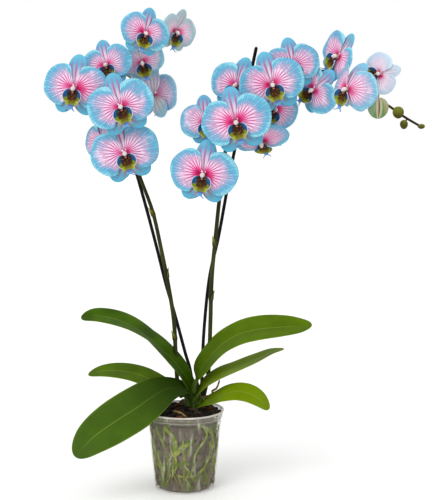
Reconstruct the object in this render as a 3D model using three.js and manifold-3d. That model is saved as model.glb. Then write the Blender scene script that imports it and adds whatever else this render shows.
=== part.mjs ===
// A potted moth orchid with two flower spikes: pot, bark, roots, leaves, stakes, spikes and blooms.
// Millimetres, +Z up. Seen from the front, +X is right and +Y is away. The origin is the centre of
// the pot's underside, which stands on the table.
import * as THREE from "three";
import { mergeVertices } from "three/addons/utils/BufferGeometryUtils.js";
import Module from "manifold-3d";

const wasm = await Module();
wasm.setup();

// Driving dimensions
const GAP = 0.3;                  // clearance that touching pieces keep
const POT_HEIGHT = 123;
const POT_RIM_RADIUS = 61.2;
const POT_RIM_START = 111;        // height at which the wall steps out to the rim band
const POT_SHOULDER_RADIUS = 57.6; // outer radius of the wall just under that step
const POT_FOOT_RADIUS = 47.3;     // outer radius of the wall where it meets the stepped foot
const POT_FOOT_TOP = 8.6;
const POT_WALL = 1;
const POT_FLOOR = 1.4;
const POT_SIDES = 26;
const STAKE_RADIUS = 2.6;
const SPIKE_RADIUS = 3.3;
const STEM_SIDES = 6;
const TWIG_SIDES = 5;             // sides of roots, flower stalks and columns
const TEPAL_THICKNESS = 0.7;
const LEAF_THICKNESS = 1.8;
const PETAL_OFFSET = 17.5;        // the petal is a disc whose centre lies this far from the column
const PETAL_RADIUS = 35.5;
const PETAL_TILT = 9;             // degrees that a petal points above the horizontal
const PETAL_HALF_FAN = 66;        // degrees from the middle of a petal to its straight sides
const PETAL_SHORTFALL = 0.14;     // share by which its straight sides end inside the disc
const PETAL_RISE = 9;             // a petal first comes forwards, then falls back to its edge
const PETAL_FALL = 13.6;
const PETAL_SIDE_LIFT = 6;        // how much less its sides fall back than its middle
const PETAL_WAVE = 2.2;
const PETAL_WAVE_TURN = 4.5;      // radians of wave from the middle to a straight side
const SEPAL_HALF_WIDTH = 15;
const SEPAL_ROOT_HALF_WIDTH = 2.5;
const SEPAL_TIP_HALF_WIDTH = 4.5;
const SEPAL_WIDEST = 0.55;        // share of a sepal's length at which it is widest
const SEPAL_OPENING_POWER = 0.8;  // below 1 it widens fast near its root
const SEPAL_TIP_POWER = 2.2;      // 2 would be an elliptic tip, more is blunter
const SEPAL_BEHIND = 2.4;         // how far the sepals lie behind the petals
const SEPAL_FALL = 5;
const SEPAL_ARCH = 1.4;
const DORSAL_LENGTH = 53;
const LATERAL_LENGTH = 47;
const LATERAL_ANGLE = 35;         // degrees between a lateral sepal and straight down
const HEART_RADIUS = 4.2;
const PETAL_ROOT_SPREAD = 34;     // degrees each way round the heart that a tepal's root takes
const DORSAL_ROOT_SPREAD = 22;
const LATERAL_ROOT_SPREAD = 20;
const PETAL_RINGS = [0.5, 1];
const PETAL_TURNS = [-1, -0.72, -0.42, -0.14, 0.14, 0.42, 0.72, 1];
const SEPAL_STATIONS = [0.35, 0.8, 1];

const vec = (x, y, z) => new THREE.Vector3(x, y, z);
const radians = THREE.MathUtils.degToRad;

// Seeded random numbers, so that the bark lies the same way each time
let seed = 7;
function random() {
  seed = (seed * 16807) % 2147483647;
  return seed / 2147483647;
}

// Solids

function toSolid(geometry) {
  const bare = geometry.clone();
  bare.deleteAttribute("normal");
  bare.deleteAttribute("uv");
  const merged = mergeVertices(bare, 1e-4);
  const corners = merged.index.array;
  const kept = [];
  for (let i = 0; i < corners.length; i += 3) {
    const [a, b, c] = [corners[i], corners[i + 1], corners[i + 2]];
    if (a !== b && b !== c && c !== a) {
      kept.push(a, b, c);
    }
  }
  return new wasm.Manifold(new wasm.Mesh({
    numProp: 3,
    vertProperties: Float32Array.from(merged.attributes.position.array),
    triVerts: Uint32Array.from(kept),
  }));
}

function toGeometry(solid) {
  const mesh = solid.getMesh();
  const geometry = new THREE.BufferGeometry();
  geometry.setAttribute("position", new THREE.BufferAttribute(mesh.vertProperties, 3));
  geometry.setIndex(new THREE.BufferAttribute(mesh.triVerts, 1));
  geometry.computeVertexNormals();
  return geometry;
}

function fuse(geometries) {
  let solid = toSolid(geometries[0]);
  for (const geometry of geometries.slice(1)) {
    solid = solid.add(toSolid(geometry));
  }
  return solid;
}

// Triangles between two rows of point numbers of any lengths, walking along both rows at once
function strip(inner, outer) {
  const triangles = [];
  let i = 0;
  let j = 0;
  while (i + 1 < inner.length || j + 1 < outer.length) {
    const nextInner = (i + 1) / Math.max(1, inner.length - 1);
    const nextOuter = (j + 1) / Math.max(1, outer.length - 1);
    if (j + 1 >= outer.length || (i + 1 < inner.length && nextInner <= nextOuter)) {
      triangles.push([inner[i], inner[i + 1], outer[j]]);
      i += 1;
    } else {
      triangles.push([inner[i], outer[j + 1], outer[j]]);
      j += 1;
    }
  }
  return triangles;
}

// A thin sheet from the points and triangles of its middle surface. Both faces are split alike, and
// every free edge gets a wall.
function sheet(middle, triangles, thickness) {
  const count = middle.length;
  const normals = middle.map(() => vec(0, 0, 0));
  for (const [a, b, c] of triangles) {
    const side = middle[b].clone().sub(middle[a]);
    const normal = side.cross(middle[c].clone().sub(middle[a]));
    for (const corner of [a, b, c]) {
      normals[corner].add(normal);
    }
  }
  const positions = [];
  for (const sign of [1, -1]) {
    middle.forEach((point, k) => {
      const moved = point.clone().addScaledVector(normals[k].clone().normalize(), sign * thickness / 2);
      positions.push(moved.x, moved.y, moved.z);
    });
  }
  const index = [];
  const edges = new Map();
  for (const [a, b, c] of triangles) {
    index.push(a, b, c, a + count, c + count, b + count);
    for (const [from, to] of [[a, b], [b, c], [c, a]]) {
      edges.set(`${from}_${to}`, [from, to]);
    }
  }
  for (const [from, to] of edges.values()) {
    if (!edges.has(`${to}_${from}`)) {
      index.push(to, from, from + count, to, from + count, to + count);
    }
  }
  const geometry = new THREE.BufferGeometry();
  geometry.setAttribute("position", new THREE.Float32BufferAttribute(positions, 3));
  geometry.setIndex(index);
  geometry.computeVertexNormals();
  return geometry;
}

// Adds rows of points to a sheet in the making, each row joined to the one before it
function addRows(points, triangles, firstRow, rows) {
  let last = firstRow;
  for (const row of rows) {
    const numbers = row.map((point) => points.push(point) - 1);
    triangles.push(...strip(last, numbers));
    last = numbers;
  }
}

function blade(rows, thickness) {
  const points = [...rows[0]];
  const triangles = [];
  addRows(points, triangles, rows[0].map((point, number) => number), rows.slice(1));
  return sheet(points, triangles, thickness);
}

// A round limb along a curve, or a smooth line through points, its radius running through the radii
function limb(route, radii, sides, steps) {
  const curve = Array.isArray(route) ? new THREE.CatmullRomCurve3(route, false, "centripetal") : route;
  const frames = curve.computeFrenetFrames(steps, false);
  const positions = [];
  for (let i = 0; i <= steps; i += 1) {
    const along = i / steps;
    const centre = curve.getPointAt(along);
    const place = along * (radii.length - 1);
    const low = Math.min(Math.floor(place), radii.length - 2);
    const radius = THREE.MathUtils.lerp(radii[low], radii[low + 1], place - low);
    for (let k = 0; k < sides; k += 1) {
      const angle = 2 * Math.PI * k / sides;
      const point = centre.clone()
        .addScaledVector(frames.normals[i], radius * Math.cos(angle))
        .addScaledVector(frames.binormals[i], radius * Math.sin(angle));
      positions.push(point.x, point.y, point.z);
    }
  }
  const index = [];
  for (let i = 0; i < steps; i += 1) {
    for (let k = 0; k < sides; k += 1) {
      const a = i * sides + k;
      const b = i * sides + (k + 1) % sides;
      index.push(a, b, b + sides, a, b + sides, a + sides);
    }
  }
  const last = steps * sides;
  for (let k = 1; k + 1 < sides; k += 1) {
    index.push(0, k + 1, k, last, last + k, last + k + 1);
  }
  const geometry = new THREE.BufferGeometry();
  geometry.setAttribute("position", new THREE.Float32BufferAttribute(positions, 3));
  geometry.setIndex(index);
  return geometry;
}

// A turned body about +Z from a profile of [radius, z] pairs that starts and ends on the axis
function turned(profile, sides) {
  const outline = profile.map(([radius, z]) => new THREE.Vector2(radius, z));
  return new THREE.LatheGeometry(outline, sides).rotateX(Math.PI / 2);
}

const plant = new THREE.Group();

function material(color, roughness, extra = {}) {
  return new THREE.MeshStandardMaterial({ color, roughness, metalness: 0, ...extra });
}

const FINISH = {
  pot: () => material(0xb4b0a4, 0.35, { transparent: true, opacity: 0.55 }),
  bark: () => material(0x3a2a1e, 0.95),
  roots: () => material(0x74803c, 0.6),
  leaf: () => material(0x5a7428, 0.4),
  stem: () => material(0x3e4620, 0.55),
  stake: () => material(0x141412, 0.5),
  tepal: () => material(0xb4a0cf, 0.6),
  lip: () => material(0x5c6030, 0.45),
  bud: () => material(0x94b9b2, 0.5),
};

function addMesh(name, geometry, finish, parent = plant) {
  const mesh = new THREE.Mesh(geometry, FINISH[finish]());
  mesh.name = name;
  parent.add(mesh);
  return mesh;
}

// Pot: thin clear plastic with a stepped foot, a rolled rim band and drain holes

const DRAIN = { count: 6, radius: 4, ring: 30 };
const FOOT_HOLE = { radius: 2.2, height: 4.4, turn: 12 };

function makePot() {
  const outside = [
    [0, 0], [44, 0], [45.6, 1.6], [46, 7], [POT_FOOT_RADIUS, POT_FOOT_TOP],
    [POT_SHOULDER_RADIUS, POT_RIM_START], [58.8, 112.4], [59.4, 119.6], [POT_RIM_RADIUS, 120.4],
    [POT_RIM_RADIUS, POT_HEIGHT - 0.6], [POT_RIM_RADIUS - 0.6, POT_HEIGHT],
  ];
  const inside = [
    [58.5, POT_HEIGHT], [57.8, 113], [POT_SHOULDER_RADIUS - POT_WALL, POT_RIM_START + 0.4],
    [POT_FOOT_RADIUS - POT_WALL, POT_FOOT_TOP + POT_WALL], [45 - POT_WALL, 7.6],
    [44.4 - POT_WALL, 2.4], [42, POT_FLOOR], [0, POT_FLOOR],
  ];
  let pot = toSolid(turned([...outside, ...inside], POT_SIDES));
  for (let i = 0; i < DRAIN.count; i += 1) {
    const step = 360 / DRAIN.count;
    const base = new THREE.CylinderGeometry(DRAIN.radius, DRAIN.radius, 6, 6).rotateX(Math.PI / 2);
    base.translate(DRAIN.ring, 0, 1).rotateZ(radians(step * (i + 0.5)));
    const side = new THREE.CylinderGeometry(FOOT_HOLE.radius, FOOT_HOLE.radius, 8, 5);
    side.rotateZ(Math.PI / 2).translate(46, 0, FOOT_HOLE.height);
    side.rotateZ(radians(step * i + FOOT_HOLE.turn));
    pot = pot.subtract(toSolid(base)).subtract(toSolid(side));
  }
  return pot;
}

// Routes of the two stakes and the two flower spikes, from the bark upwards

const STAKE_ROUTES = {
  left: [
    vec(18, 26, 60), vec(9, 25, 175), vec(1, 25, 204), vec(-17, 25, 272), vec(-29, 26, 313),
    vec(-42, 27, 366), vec(-58, 29, 428), vec(-74, 30, 486), vec(-87, 31, 530), vec(-99, 32, 571),
  ],
  right: [
    vec(24, 34, 60), vec(27, 34, 190), vec(31, 34, 257), vec(39, 34, 328), vec(52, 35, 385),
    vec(63, 35, 445), vec(76, 35, 515), vec(91, 35, 586), vec(110, 34, 677),
  ],
};

const SPIKE_ROUTES = {
  left: [
    vec(-6, 12, 140), vec(-11, 14, 158), vec(-14, 16, 204), vec(-17, 16, 260), vec(-24, 17, 307),
    vec(-36, 18, 370), vec(-49, 20, 428), vec(-70, 22, 487), vec(-82, 23, 531), vec(-87, 24, 571),
    vec(-83, 24, 610), vec(-74, 24, 640), vec(-61, 25, 665), vec(-45, 28, 682), vec(-34, 31, 689),
  ],
  right: [
    vec(30, 12, 142), vec(36, 16, 171), vec(38, 18, 204), vec(40, 20, 259), vec(41, 20, 300),
    vec(43, 21, 338), vec(46, 22, 369), vec(53, 24, 439), vec(62, 25, 514), vec(69, 26, 550),
    vec(79, 26, 580), vec(94, 26, 606), vec(114, 26, 625), vec(137, 25, 637), vec(163, 23, 643),
    vec(191, 20, 644), vec(220, 15, 640), vec(249, 8, 629), vec(275, 2, 613), vec(294, -2, 599),
    vec(311, -6, 588), vec(332, -10, 573), vec(352, -14, 561),
  ],
};

const SPIKE_STEPS = { left: 20, right: 32 };
const SPIKE_TAPER = [1, 1, 0.9, 0.7, 0.55];

// Blooms: place of the column's root, then degrees of turn to the side, of tilt up and of roll, the
// size against a full bloom, and how far the tepals close forwards

const BLOOMS = {
  a1: { at: vec(-87, -32, 520), yaw: 0, pitch: 0, roll: 15, size: 0.99, cup: 0 },
  a2: { at: vec(-161, -28, 616), yaw: -12, pitch: 0, roll: -7, size: 0.94, cup: 0 },
  a3: { at: vec(-91, -52, 589), yaw: 0, pitch: 0, roll: 17, size: 0.95, cup: 0 },
  a4: { at: vec(-115, -8, 650), yaw: -12, pitch: 10, roll: 16, size: 0.76, cup: 4 },
  a5: { at: vec(-56, -34, 696), yaw: 20, pitch: 0, roll: -16, size: 0.72, cup: 4 },
  a6: { at: vec(-13, 20, 702), yaw: 40, pitch: -14, roll: -12, size: 0.66, cup: 16 },
  a7: { at: vec(-63, 8, 656), yaw: 5, pitch: -17, roll: 16, size: 0.66, cup: 0 },
  a8: { at: vec(-47, 46, 607), yaw: 150, pitch: 0, roll: 0, size: 0.86, cup: 0 },
  a9: { at: vec(-122, -2, 536), yaw: -35, pitch: 0, roll: 10, size: 0.72, cup: 0 },
  b1: { at: vec(30, -34, 488), yaw: -10, pitch: 0, roll: -7, size: 0.985, cup: 0 },
  b2: { at: vec(79, -54, 566), yaw: -8, pitch: 0, roll: 14, size: 1, cup: 0 },
  b3: { at: vec(132, -36, 621), yaw: 0, pitch: 0, roll: 17, size: 0.94, cup: 0 },
  b4: { at: vec(34, -14, 566), yaw: -8, pitch: 0, roll: 8, size: 0.76, cup: 0 },
  b5: { at: vec(80, -2, 620), yaw: -20, pitch: 5, roll: -17, size: 0.84, cup: 0 },
  b6: { at: vec(137, 8, 586), yaw: 20, pitch: -10, roll: -35, size: 0.8, cup: 0 },
  b7: { at: vec(117, 0, 538), yaw: 0, pitch: -55, roll: 18, size: 0.85, cup: 0 },
  b8: { at: vec(163, -16, 650), yaw: 5, pitch: 5, roll: 10, size: 0.8, cup: 0 },
  b9: { at: vec(196, -2, 614), yaw: -34, pitch: -5, roll: -52, size: 0.78, cup: 0 },
  b10: { at: vec(233, -6, 663), yaw: -58, pitch: 10, roll: -44, size: 0.8, cup: 10 },
  b11: { at: vec(240, -70, 614), yaw: -46, pitch: 0, roll: -18, size: 0.86, cup: -24 },
  b12: { at: vec(292, -23, 637), yaw: -20, pitch: 0, roll: -78, size: 0.6, cup: 0 },
};

function bloomTurn({ yaw, pitch, roll }) {
  const turn = new THREE.Matrix4().makeRotationZ(radians(yaw));
  turn.multiply(new THREE.Matrix4().makeRotationX(radians(90 - pitch)));
  turn.multiply(new THREE.Matrix4().makeRotationZ(radians(roll)));
  return turn;
}

// Tilts a point of a tepal forwards about the column's root, then turns it to the tepal's direction
function placeTepal(reach, across, height, direction, cup) {
  const out = reach * Math.cos(cup) - height * Math.sin(cup);
  const front = reach * Math.sin(cup) + height * Math.cos(cup);
  const x = out * Math.cos(direction) - across * Math.sin(direction);
  const y = out * Math.sin(direction) + across * Math.cos(direction);
  return vec(x, y, front);
}

// Rows of a petal, outwards from its root. Its straight sides fan out from the root, and the wavy
// round edge is a disc that reaches past it.
function petalRows(side, bloom) {
  const { size, phase } = bloom;
  const direction = radians(side > 0 ? PETAL_TILT : 180 - PETAL_TILT);
  return PETAL_RINGS.map((out) => PETAL_TURNS.map((turn) => {
    const angle = radians(PETAL_HALF_FAN) * turn;
    const across = PETAL_OFFSET * Math.sin(angle);
    const edge = PETAL_OFFSET * Math.cos(angle) + Math.sqrt(PETAL_RADIUS ** 2 - across ** 2);
    const reach = size * out * edge * (1 - PETAL_SHORTFALL * turn ** 6);
    const wave = PETAL_WAVE * out ** 3 * Math.sin(PETAL_WAVE_TURN * turn + phase + side);
    const fall = (PETAL_FALL - PETAL_SIDE_LIFT * turn ** 2) * out ** 2;
    const height = size * (PETAL_RISE * out - fall + wave);
    return placeTepal(reach * Math.cos(angle), reach * Math.sin(angle), height, direction,
      radians(bloom.cup));
  }));
}

function sepalRows(direction, length, bloom) {
  const { size } = bloom;
  return SEPAL_STATIONS.map((along) => (along === 1 ? [-1, 1] : [-1, 0, 1]).map((side) => {
    const opening = Math.sin(Math.PI / 2 * Math.min(along / SEPAL_WIDEST, 1)) ** SEPAL_OPENING_POWER;
    const past = Math.max(along - SEPAL_WIDEST, 0) / (1 - SEPAL_WIDEST);
    const narrow = opening * Math.sqrt(1 - past ** SEPAL_TIP_POWER);
    const halfWidth = Math.max(SEPAL_HALF_WIDTH * narrow + SEPAL_ROOT_HALF_WIDTH * (1 - along),
      SEPAL_TIP_HALF_WIDTH);
    const height = -SEPAL_BEHIND - SEPAL_FALL * along ** 2 - SEPAL_ARCH * side ** 2;
    return placeTepal(size * length * along, size * halfWidth * side, size * height,
      radians(direction), radians(bloom.cup));
  }));
}

function makeSepal(direction, length, spread, bloom) {
  return { direction, spread, rows: sepalRows(direction, length, bloom) };
}

// One bloom's two petals and three sepals, grown together at a small round heart
function makeTepals(bloom) {
  const tepals = [
    { direction: PETAL_TILT, spread: PETAL_ROOT_SPREAD, rows: petalRows(1, bloom) },
    makeSepal(90, DORSAL_LENGTH, DORSAL_ROOT_SPREAD, bloom),
    { direction: 180 - PETAL_TILT, spread: PETAL_ROOT_SPREAD, rows: petalRows(-1, bloom) },
    makeSepal(270 - LATERAL_ANGLE, LATERAL_LENGTH, LATERAL_ROOT_SPREAD, bloom),
    makeSepal(270 + LATERAL_ANGLE, LATERAL_LENGTH, LATERAL_ROOT_SPREAD, bloom),
  ];
  const points = [];
  const triangles = [];
  const heart = HEART_RADIUS * bloom.size;
  for (const { direction, spread, rows } of tepals) {
    const root = [direction - spread, direction + spread].map((degrees) => (
      points.push(vec(heart * Math.cos(radians(degrees)), heart * Math.sin(radians(degrees)), 0)) - 1
    ));
    addRows(points, triangles, root, rows);
  }
  const ring = [];
  let start = 0;
  for (const { rows } of tepals) {
    ring.push(start, start + 1);
    start += 2 + rows.flat().length;
  }
  for (let k = 1; k + 1 < ring.length; k += 1) {
    triangles.push([ring[0], ring[k + 1], ring[k]]);
  }
  return sheet(points, triangles, TEPAL_THICKNESS);
}

// Lip: two erect ears beside the column, a keeled middle lobe and its tongue with two hooks, given
// for a full bloom from the column's root, with z towards the viewer

const LIP_KEEL = [
  [[-2.2, -2.4, 5.4], [0, -2.4, 4.6], [2.2, -2.4, 5.4]],
  [[-4.4, -9.5, 5.8], [0, -9.5, 4.4], [4.4, -9.5, 5.8]],
  [[-5.6, -16, 7.2], [0, -16, 5.6], [5.6, -16, 7.2]],
];

const LIP_LOBE = [
  [[-10, -21, 9.6], [0, -20, 6.8], [10, -21, 9.6]],
  [[-9, -25.4, 9.8], [0, -25, 8.6], [9, -25.4, 9.8]],
  [[-3.4, -28, 8], [0, -28, 8.4], [3.4, -28, 8]],
  [[-3.8, -32.6, 9], [-1.2, -33, 8.4], [1.2, -33, 8.4], [3.8, -32.6, 9]],
];

const LIP_HOOK_TIP = [7, -35, 13.4];

const COLUMN_ROUTE = [[0, -0.6, 6], [0, -2.6, 12.8]];
const COLUMN_RADII = [3.1, 3.6, 2.8];

const LIP_EAR = [
  [[8.6, -1.6, 8], [10.6, -9.8, 6.8], [9.6, -17.6, 7.6]],
  [[11.2, -4, 12.4], [16, -13.4, 11.6], [13.2, -21, 10.4]],
];

function makeLip(bloom) {
  const size = (1 + bloom.size) / 2; // smaller and half-open blooms have nearly full-size lips
  const place = ([x, y, z]) => vec(x, y, z).multiplyScalar(size);
  const points = [];
  const triangles = [];
  const keel = LIP_KEEL.map((row) => row.map((spot) => points.push(place(spot)) - 1));
  for (let i = 0; i + 1 < keel.length; i += 1) {
    triangles.push(...strip(keel[i], keel[i + 1]));
  }
  addRows(points, triangles, keel[2], LIP_LOBE.map((row) => row.map(place)));
  const tongue = points.length - 4;
  const [x, y, z] = LIP_HOOK_TIP;
  addRows(points, triangles, [tongue, tongue + 1], [[place([-x, y, z])]]);
  addRows(points, triangles, [tongue + 2, tongue + 3], [[place([x, y, z])]]);
  addRows(points, triangles, keel.map((row) => row[2]).reverse(),
    LIP_EAR.map((row) => row.map(place).reverse()));
  addRows(points, triangles, keel.map((row) => row[0]),
    LIP_EAR.map((row) => row.map(([ex, ey, ez]) => place([-ex, ey, ez]))));
  const seat = TEPAL_THICKNESS / 2 + GAP;
  const column = limb([vec(0, 0, seat), ...COLUMN_ROUTE.map(place)],
    COLUMN_RADII.map((radius) => radius * size), TWIG_SIDES, COLUMN_ROUTE.length);
  return fuse([column, sheet(points, triangles, TEPAL_THICKNESS)]);
}

// Leaves: the line of the midrib, the widest half width, then for base, middle and tip the lean of
// the blade about its midrib and the fold of its two halves towards each other, in degrees

const LEAVES = {
  leaf_front_left: {
    spine: [
      vec(12, 0, 148), vec(-1, -8, 157), vec(-29, -25, 158), vec(-51, -42, 149), vec(-71, -58, 138),
      vec(-103, -78, 121), vec(-134, -94, 101), vec(-159, -104, 76),
    ],
    halfWidth: 33, lean: [-24, -58, -54], fold: [14, 4, 5],
  },
  leaf_mid_left: {
    spine: [
      vec(10, 8, 136), vec(-8, 16, 146), vec(-34, 24, 153), vec(-54, 32, 161), vec(-75, 40, 168),
      vec(-103, 48, 172), vec(-131, 54, 171), vec(-155, 57, 165),
    ],
    halfWidth: 22, lean: [-14, -22, -24], fold: [18, 6, 5],
  },
  leaf_upper_left: {
    spine: [
      vec(14, 4, 146), vec(6, 4, 161), vec(-6, 4, 182), vec(-33, 5, 212), vec(-60, 6, 236),
      vec(-86, 6, 253), vec(-112, 5, 263), vec(-139, 2, 268), vec(-159, 0, 265),
    ],
    halfWidth: 27, lean: [-36, -8, -30], fold: [18, 14, 8],
  },
  leaf_upper_right: {
    spine: [
      vec(17, 4, 140), vec(20, 2, 160), vec(24, 0, 180), vec(39, -2, 203), vec(60, -6, 226),
      vec(86, -12, 242), vec(113, -18, 250), vec(152, -26, 255), vec(178, -30, 257), vec(194, -32, 260),
    ],
    halfWidth: 30, lean: [38, 32, 30], fold: [16, 8, 10],
  },
  leaf_mid_right: {
    spine: [
      vec(18, -2, 134), vec(24, -7, 150), vec(34, -9, 164), vec(55, -8, 178), vec(87, -2, 191),
      vec(114, 4, 202), vec(135, 8, 211), vec(154, 12, 215),
    ],
    halfWidth: 21, lean: [30, 8, 2], fold: [20, 8, 5],
  },
  leaf_low_right: {
    spine: [
      vec(20, -2, 126), vec(33, -12, 136), vec(47, -18, 143), vec(62, -24, 151), vec(82, -30, 156),
      vec(100, -36, 154), vec(115, -40, 146), vec(129, -42, 132),
    ],
    halfWidth: 19, lean: [30, 32, 36], fold: [14, 6, 5],
  },
};

const LEAF_STATIONS = [0, 0.13, 0.29, 0.46, 0.63, 0.8, 0.93, 1];
const LEAF_WIDEST = 0.55;         // share of a leaf's length at which it is widest
const LEAF_BASE_WIDTH = 0.34;
const LEAF_TIP_POWER = 2.3;       // 2 would be an elliptic tip, more is blunter

function blend(values, along) {
  const place = along * (values.length - 1);
  const low = Math.min(Math.floor(place), values.length - 2);
  return THREE.MathUtils.lerp(values[low], values[low + 1], place - low);
}

function leafWidth(along) {
  if (along < LEAF_WIDEST) {
    return LEAF_BASE_WIDTH + (1 - LEAF_BASE_WIDTH) * Math.sin(Math.PI / 2 * along / LEAF_WIDEST);
  }
  const past = (along - LEAF_WIDEST) / (1 - LEAF_WIDEST);
  return Math.sqrt(Math.max(0, 1 - past ** LEAF_TIP_POWER));
}

function leafBlade(spec, grow) {
  const spine = new THREE.CatmullRomCurve3(spec.spine, false, "centripetal");
  const rows = [];
  for (const along of LEAF_STATIONS) {
    const centre = spine.getPointAt(along);
    const tangent = spine.getTangentAt(along);
    const level = vec(0, 0, 1).cross(tangent).normalize();
    const upright = tangent.clone().cross(level);
    const lean = radians(blend(spec.lean, along));
    const across = level.clone().multiplyScalar(Math.cos(lean)).addScaledVector(upright, Math.sin(lean));
    const up = upright.clone().multiplyScalar(Math.cos(lean)).addScaledVector(level, -Math.sin(lean));
    const rise = Math.tan(radians(blend(spec.fold, along)));
    const half = (spec.halfWidth + grow) * leafWidth(along);
    const steps = half === 0 ? [0] : [-1, -0.5, 0, 0.5, 1];
    rows.push(steps.map((side) => centre.clone()
      .addScaledVector(across, half * side)
      .addScaledVector(up, half * rise * Math.abs(side))));
  }
  return toSolid(blade(rows, LEAF_THICKNESS + 2 * grow));
}

// Crown and roots: the short stem that carries the leaves, and roots that run out under the bark
// and then down along the clear wall. A wall root is given by degrees round from the front and height.

const CROWN_ROUTE = [vec(12, 6, 92), vec(14, 5, 118), vec(16, 4, 142), vec(17, 3, 164)];
const CROWN_RADII = [8, 11, 11.5, 9, 5];
const ROOT_START = vec(14, 5, 104);
const ROOT_RADIUS = 2.9;
const ROOT_TIP_SHARE = 0.6;
const ROOT_WALL_GAP = 1.3;

const WALL_ROOTS = [
  [[-34, 104], [-15, 84], [-16, 62], [-3, 77], [11, 78], [9, 64], [3, 50], [0, 32], [2, 15]],
  [[34, 106], [58, 88], [60, 67], [50, 50], [38, 36], [20, 28], [-12, 28]],
  [[-56, 100], [-38, 76], [-31, 60], [-30, 42], [-34, 24]],
  [[-92, 98], [-78, 78], [-64, 56], [-72, 34]],
  [[120, 100], [108, 74], [124, 52], [114, 30]],
  [[178, 104], [162, 80], [176, 56], [160, 36], [170, 18]],
];

const DRY_ROOT = [
  vec(20, 4, 138), vec(34, 5, 141), vec(44, 4, 144), vec(43, 4, 150), vec(49, 4, 154), vec(54, 4, 166),
];
const DRY_ROOT_RADII = [1.8, 1.4, 1.1];

// Inner radius of the pot's wall at a height
function wallRadius(height) {
  const up = (height - POT_FOOT_TOP) / (POT_RIM_START - POT_FOOT_TOP);
  return THREE.MathUtils.lerp(POT_FOOT_RADIUS, POT_SHOULDER_RADIUS, up) - POT_WALL;
}

function wallPoint(degrees, height, inset) {
  const radius = wallRadius(height) - inset;
  return vec(radius * Math.sin(radians(degrees)), -radius * Math.cos(radians(degrees)), height);
}

// A root leaves the crown just under the top of the bark, runs out to the wall and then down it
function rootRoute(route) {
  const flat = new THREE.CatmullRomCurve3(route.map(([degrees, height]) => vec(degrees, height, 0)));
  const inset = ROOT_RADIUS + ROOT_WALL_GAP;
  const outer = flat.getPoints(2 * route.length).map(({ x, y }) => wallPoint(x, y, inset));
  return [ROOT_START, ROOT_START.clone().lerp(outer[0], 0.5), ...outer];
}

function makeRoots(grow) {
  const crown = limb(CROWN_ROUTE, CROWN_RADII.map((radius) => radius + grow), 8, 5);
  const radii = [1, 1, ROOT_TIP_SHARE].map((share) => ROOT_RADIUS * share + grow);
  const roots = WALL_ROOTS.map((route) => limb(rootRoute(route), radii, TWIG_SIDES, 2 * route.length));
  const dry = limb(DRY_ROOT, DRY_ROOT_RADII.map((radius) => radius + grow), TWIG_SIDES, DRY_ROOT.length);
  return fuse([crown, ...roots, dry]);
}

// Bark: a dark core with chips standing out of its top and pressed against the clear wall

const CORE_INSET = 8.4;           // room for roots and chips between the core and the wall
const CORE_TOP = 106;
const TOP_CHIPS = 18;
const TOP_CHIP_REACH = 43;
const WALL_CHIPS = 16;
const WALL_CHIP_INSET = 6.6;
const ROOT_CLEARANCE = 12;        // chips stay this far from the line of each root
const CROWN_CLEARANCE = 20;
const GOLDEN_TURN = 2.4;

function makeBark() {
  const solids = [turned([
    [0, POT_FLOOR + GAP], [38, POT_FLOOR + GAP], [wallRadius(POT_FOOT_TOP) - CORE_INSET, 8],
    [wallRadius(CORE_TOP) - CORE_INSET, CORE_TOP - 3], [40, CORE_TOP], [0, CORE_TOP + 1],
  ], 16)];
  const roots = WALL_ROOTS.flatMap((route) => (
    new THREE.CatmullRomCurve3(rootRoute(route), false, "centripetal").getSpacedPoints(40)
  ));
  const clear = (centre) => roots.every((point) => point.distanceTo(centre) > ROOT_CLEARANCE);
  for (let i = 0; i < TOP_CHIPS; i += 1) {
    const angle = i * GOLDEN_TURN;
    const reach = TOP_CHIP_REACH * Math.sqrt((i + 0.6) / TOP_CHIPS);
    const turn = reach > 28 ? angle + Math.PI / 2 : 2 * Math.PI * random();
    const piece = new THREE.BoxGeometry(13 + 7 * random(), 8 + 4 * random(), 14);
    piece.rotateX(0.5 * (random() - 0.5)).rotateY(0.5 * (random() - 0.5)).rotateZ(turn);
    const centre = vec(reach * Math.cos(angle), reach * Math.sin(angle), CORE_TOP + 2 + 4 * random());
    const fromCrown = Math.hypot(centre.x - ROOT_START.x, centre.y - ROOT_START.y);
    if (clear(centre) && fromCrown > CROWN_CLEARANCE) {
      solids.push(piece.translate(centre.x, centre.y, centre.z));
    }
  }
  for (let i = 0; i < WALL_CHIPS; i += 1) {
    const height = 18 + 70 * random();
    const degrees = 360 * random();
    const centre = wallPoint(degrees, height, WALL_CHIP_INSET);
    const piece = new THREE.BoxGeometry(10 + 7 * random(), 8.4, 7 + 5 * random());
    piece.rotateY(1.2 * (random() - 0.5)).rotateZ(radians(degrees));
    if (clear(centre)) {
      solids.push(piece.translate(centre.x, centre.y, centre.z));
    }
  }
  return fuse(solids);
}

// Stakes and spikes

function makeStake(route, grow) {
  const steps = route.length + 1;
  return toSolid(limb(route, [STAKE_RADIUS + grow, STAKE_RADIUS + grow], 8, steps));
}

// A pedicel leaves the spike where it is nearest to a spot behind and below the bloom, and comes up
// square to the back of the bloom's heart
const PEDICEL_RADII = [1.5, 1.7, 2.2];
const PEDICEL_BEHIND = 16;
const PEDICEL_BELOW = 10;

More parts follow.
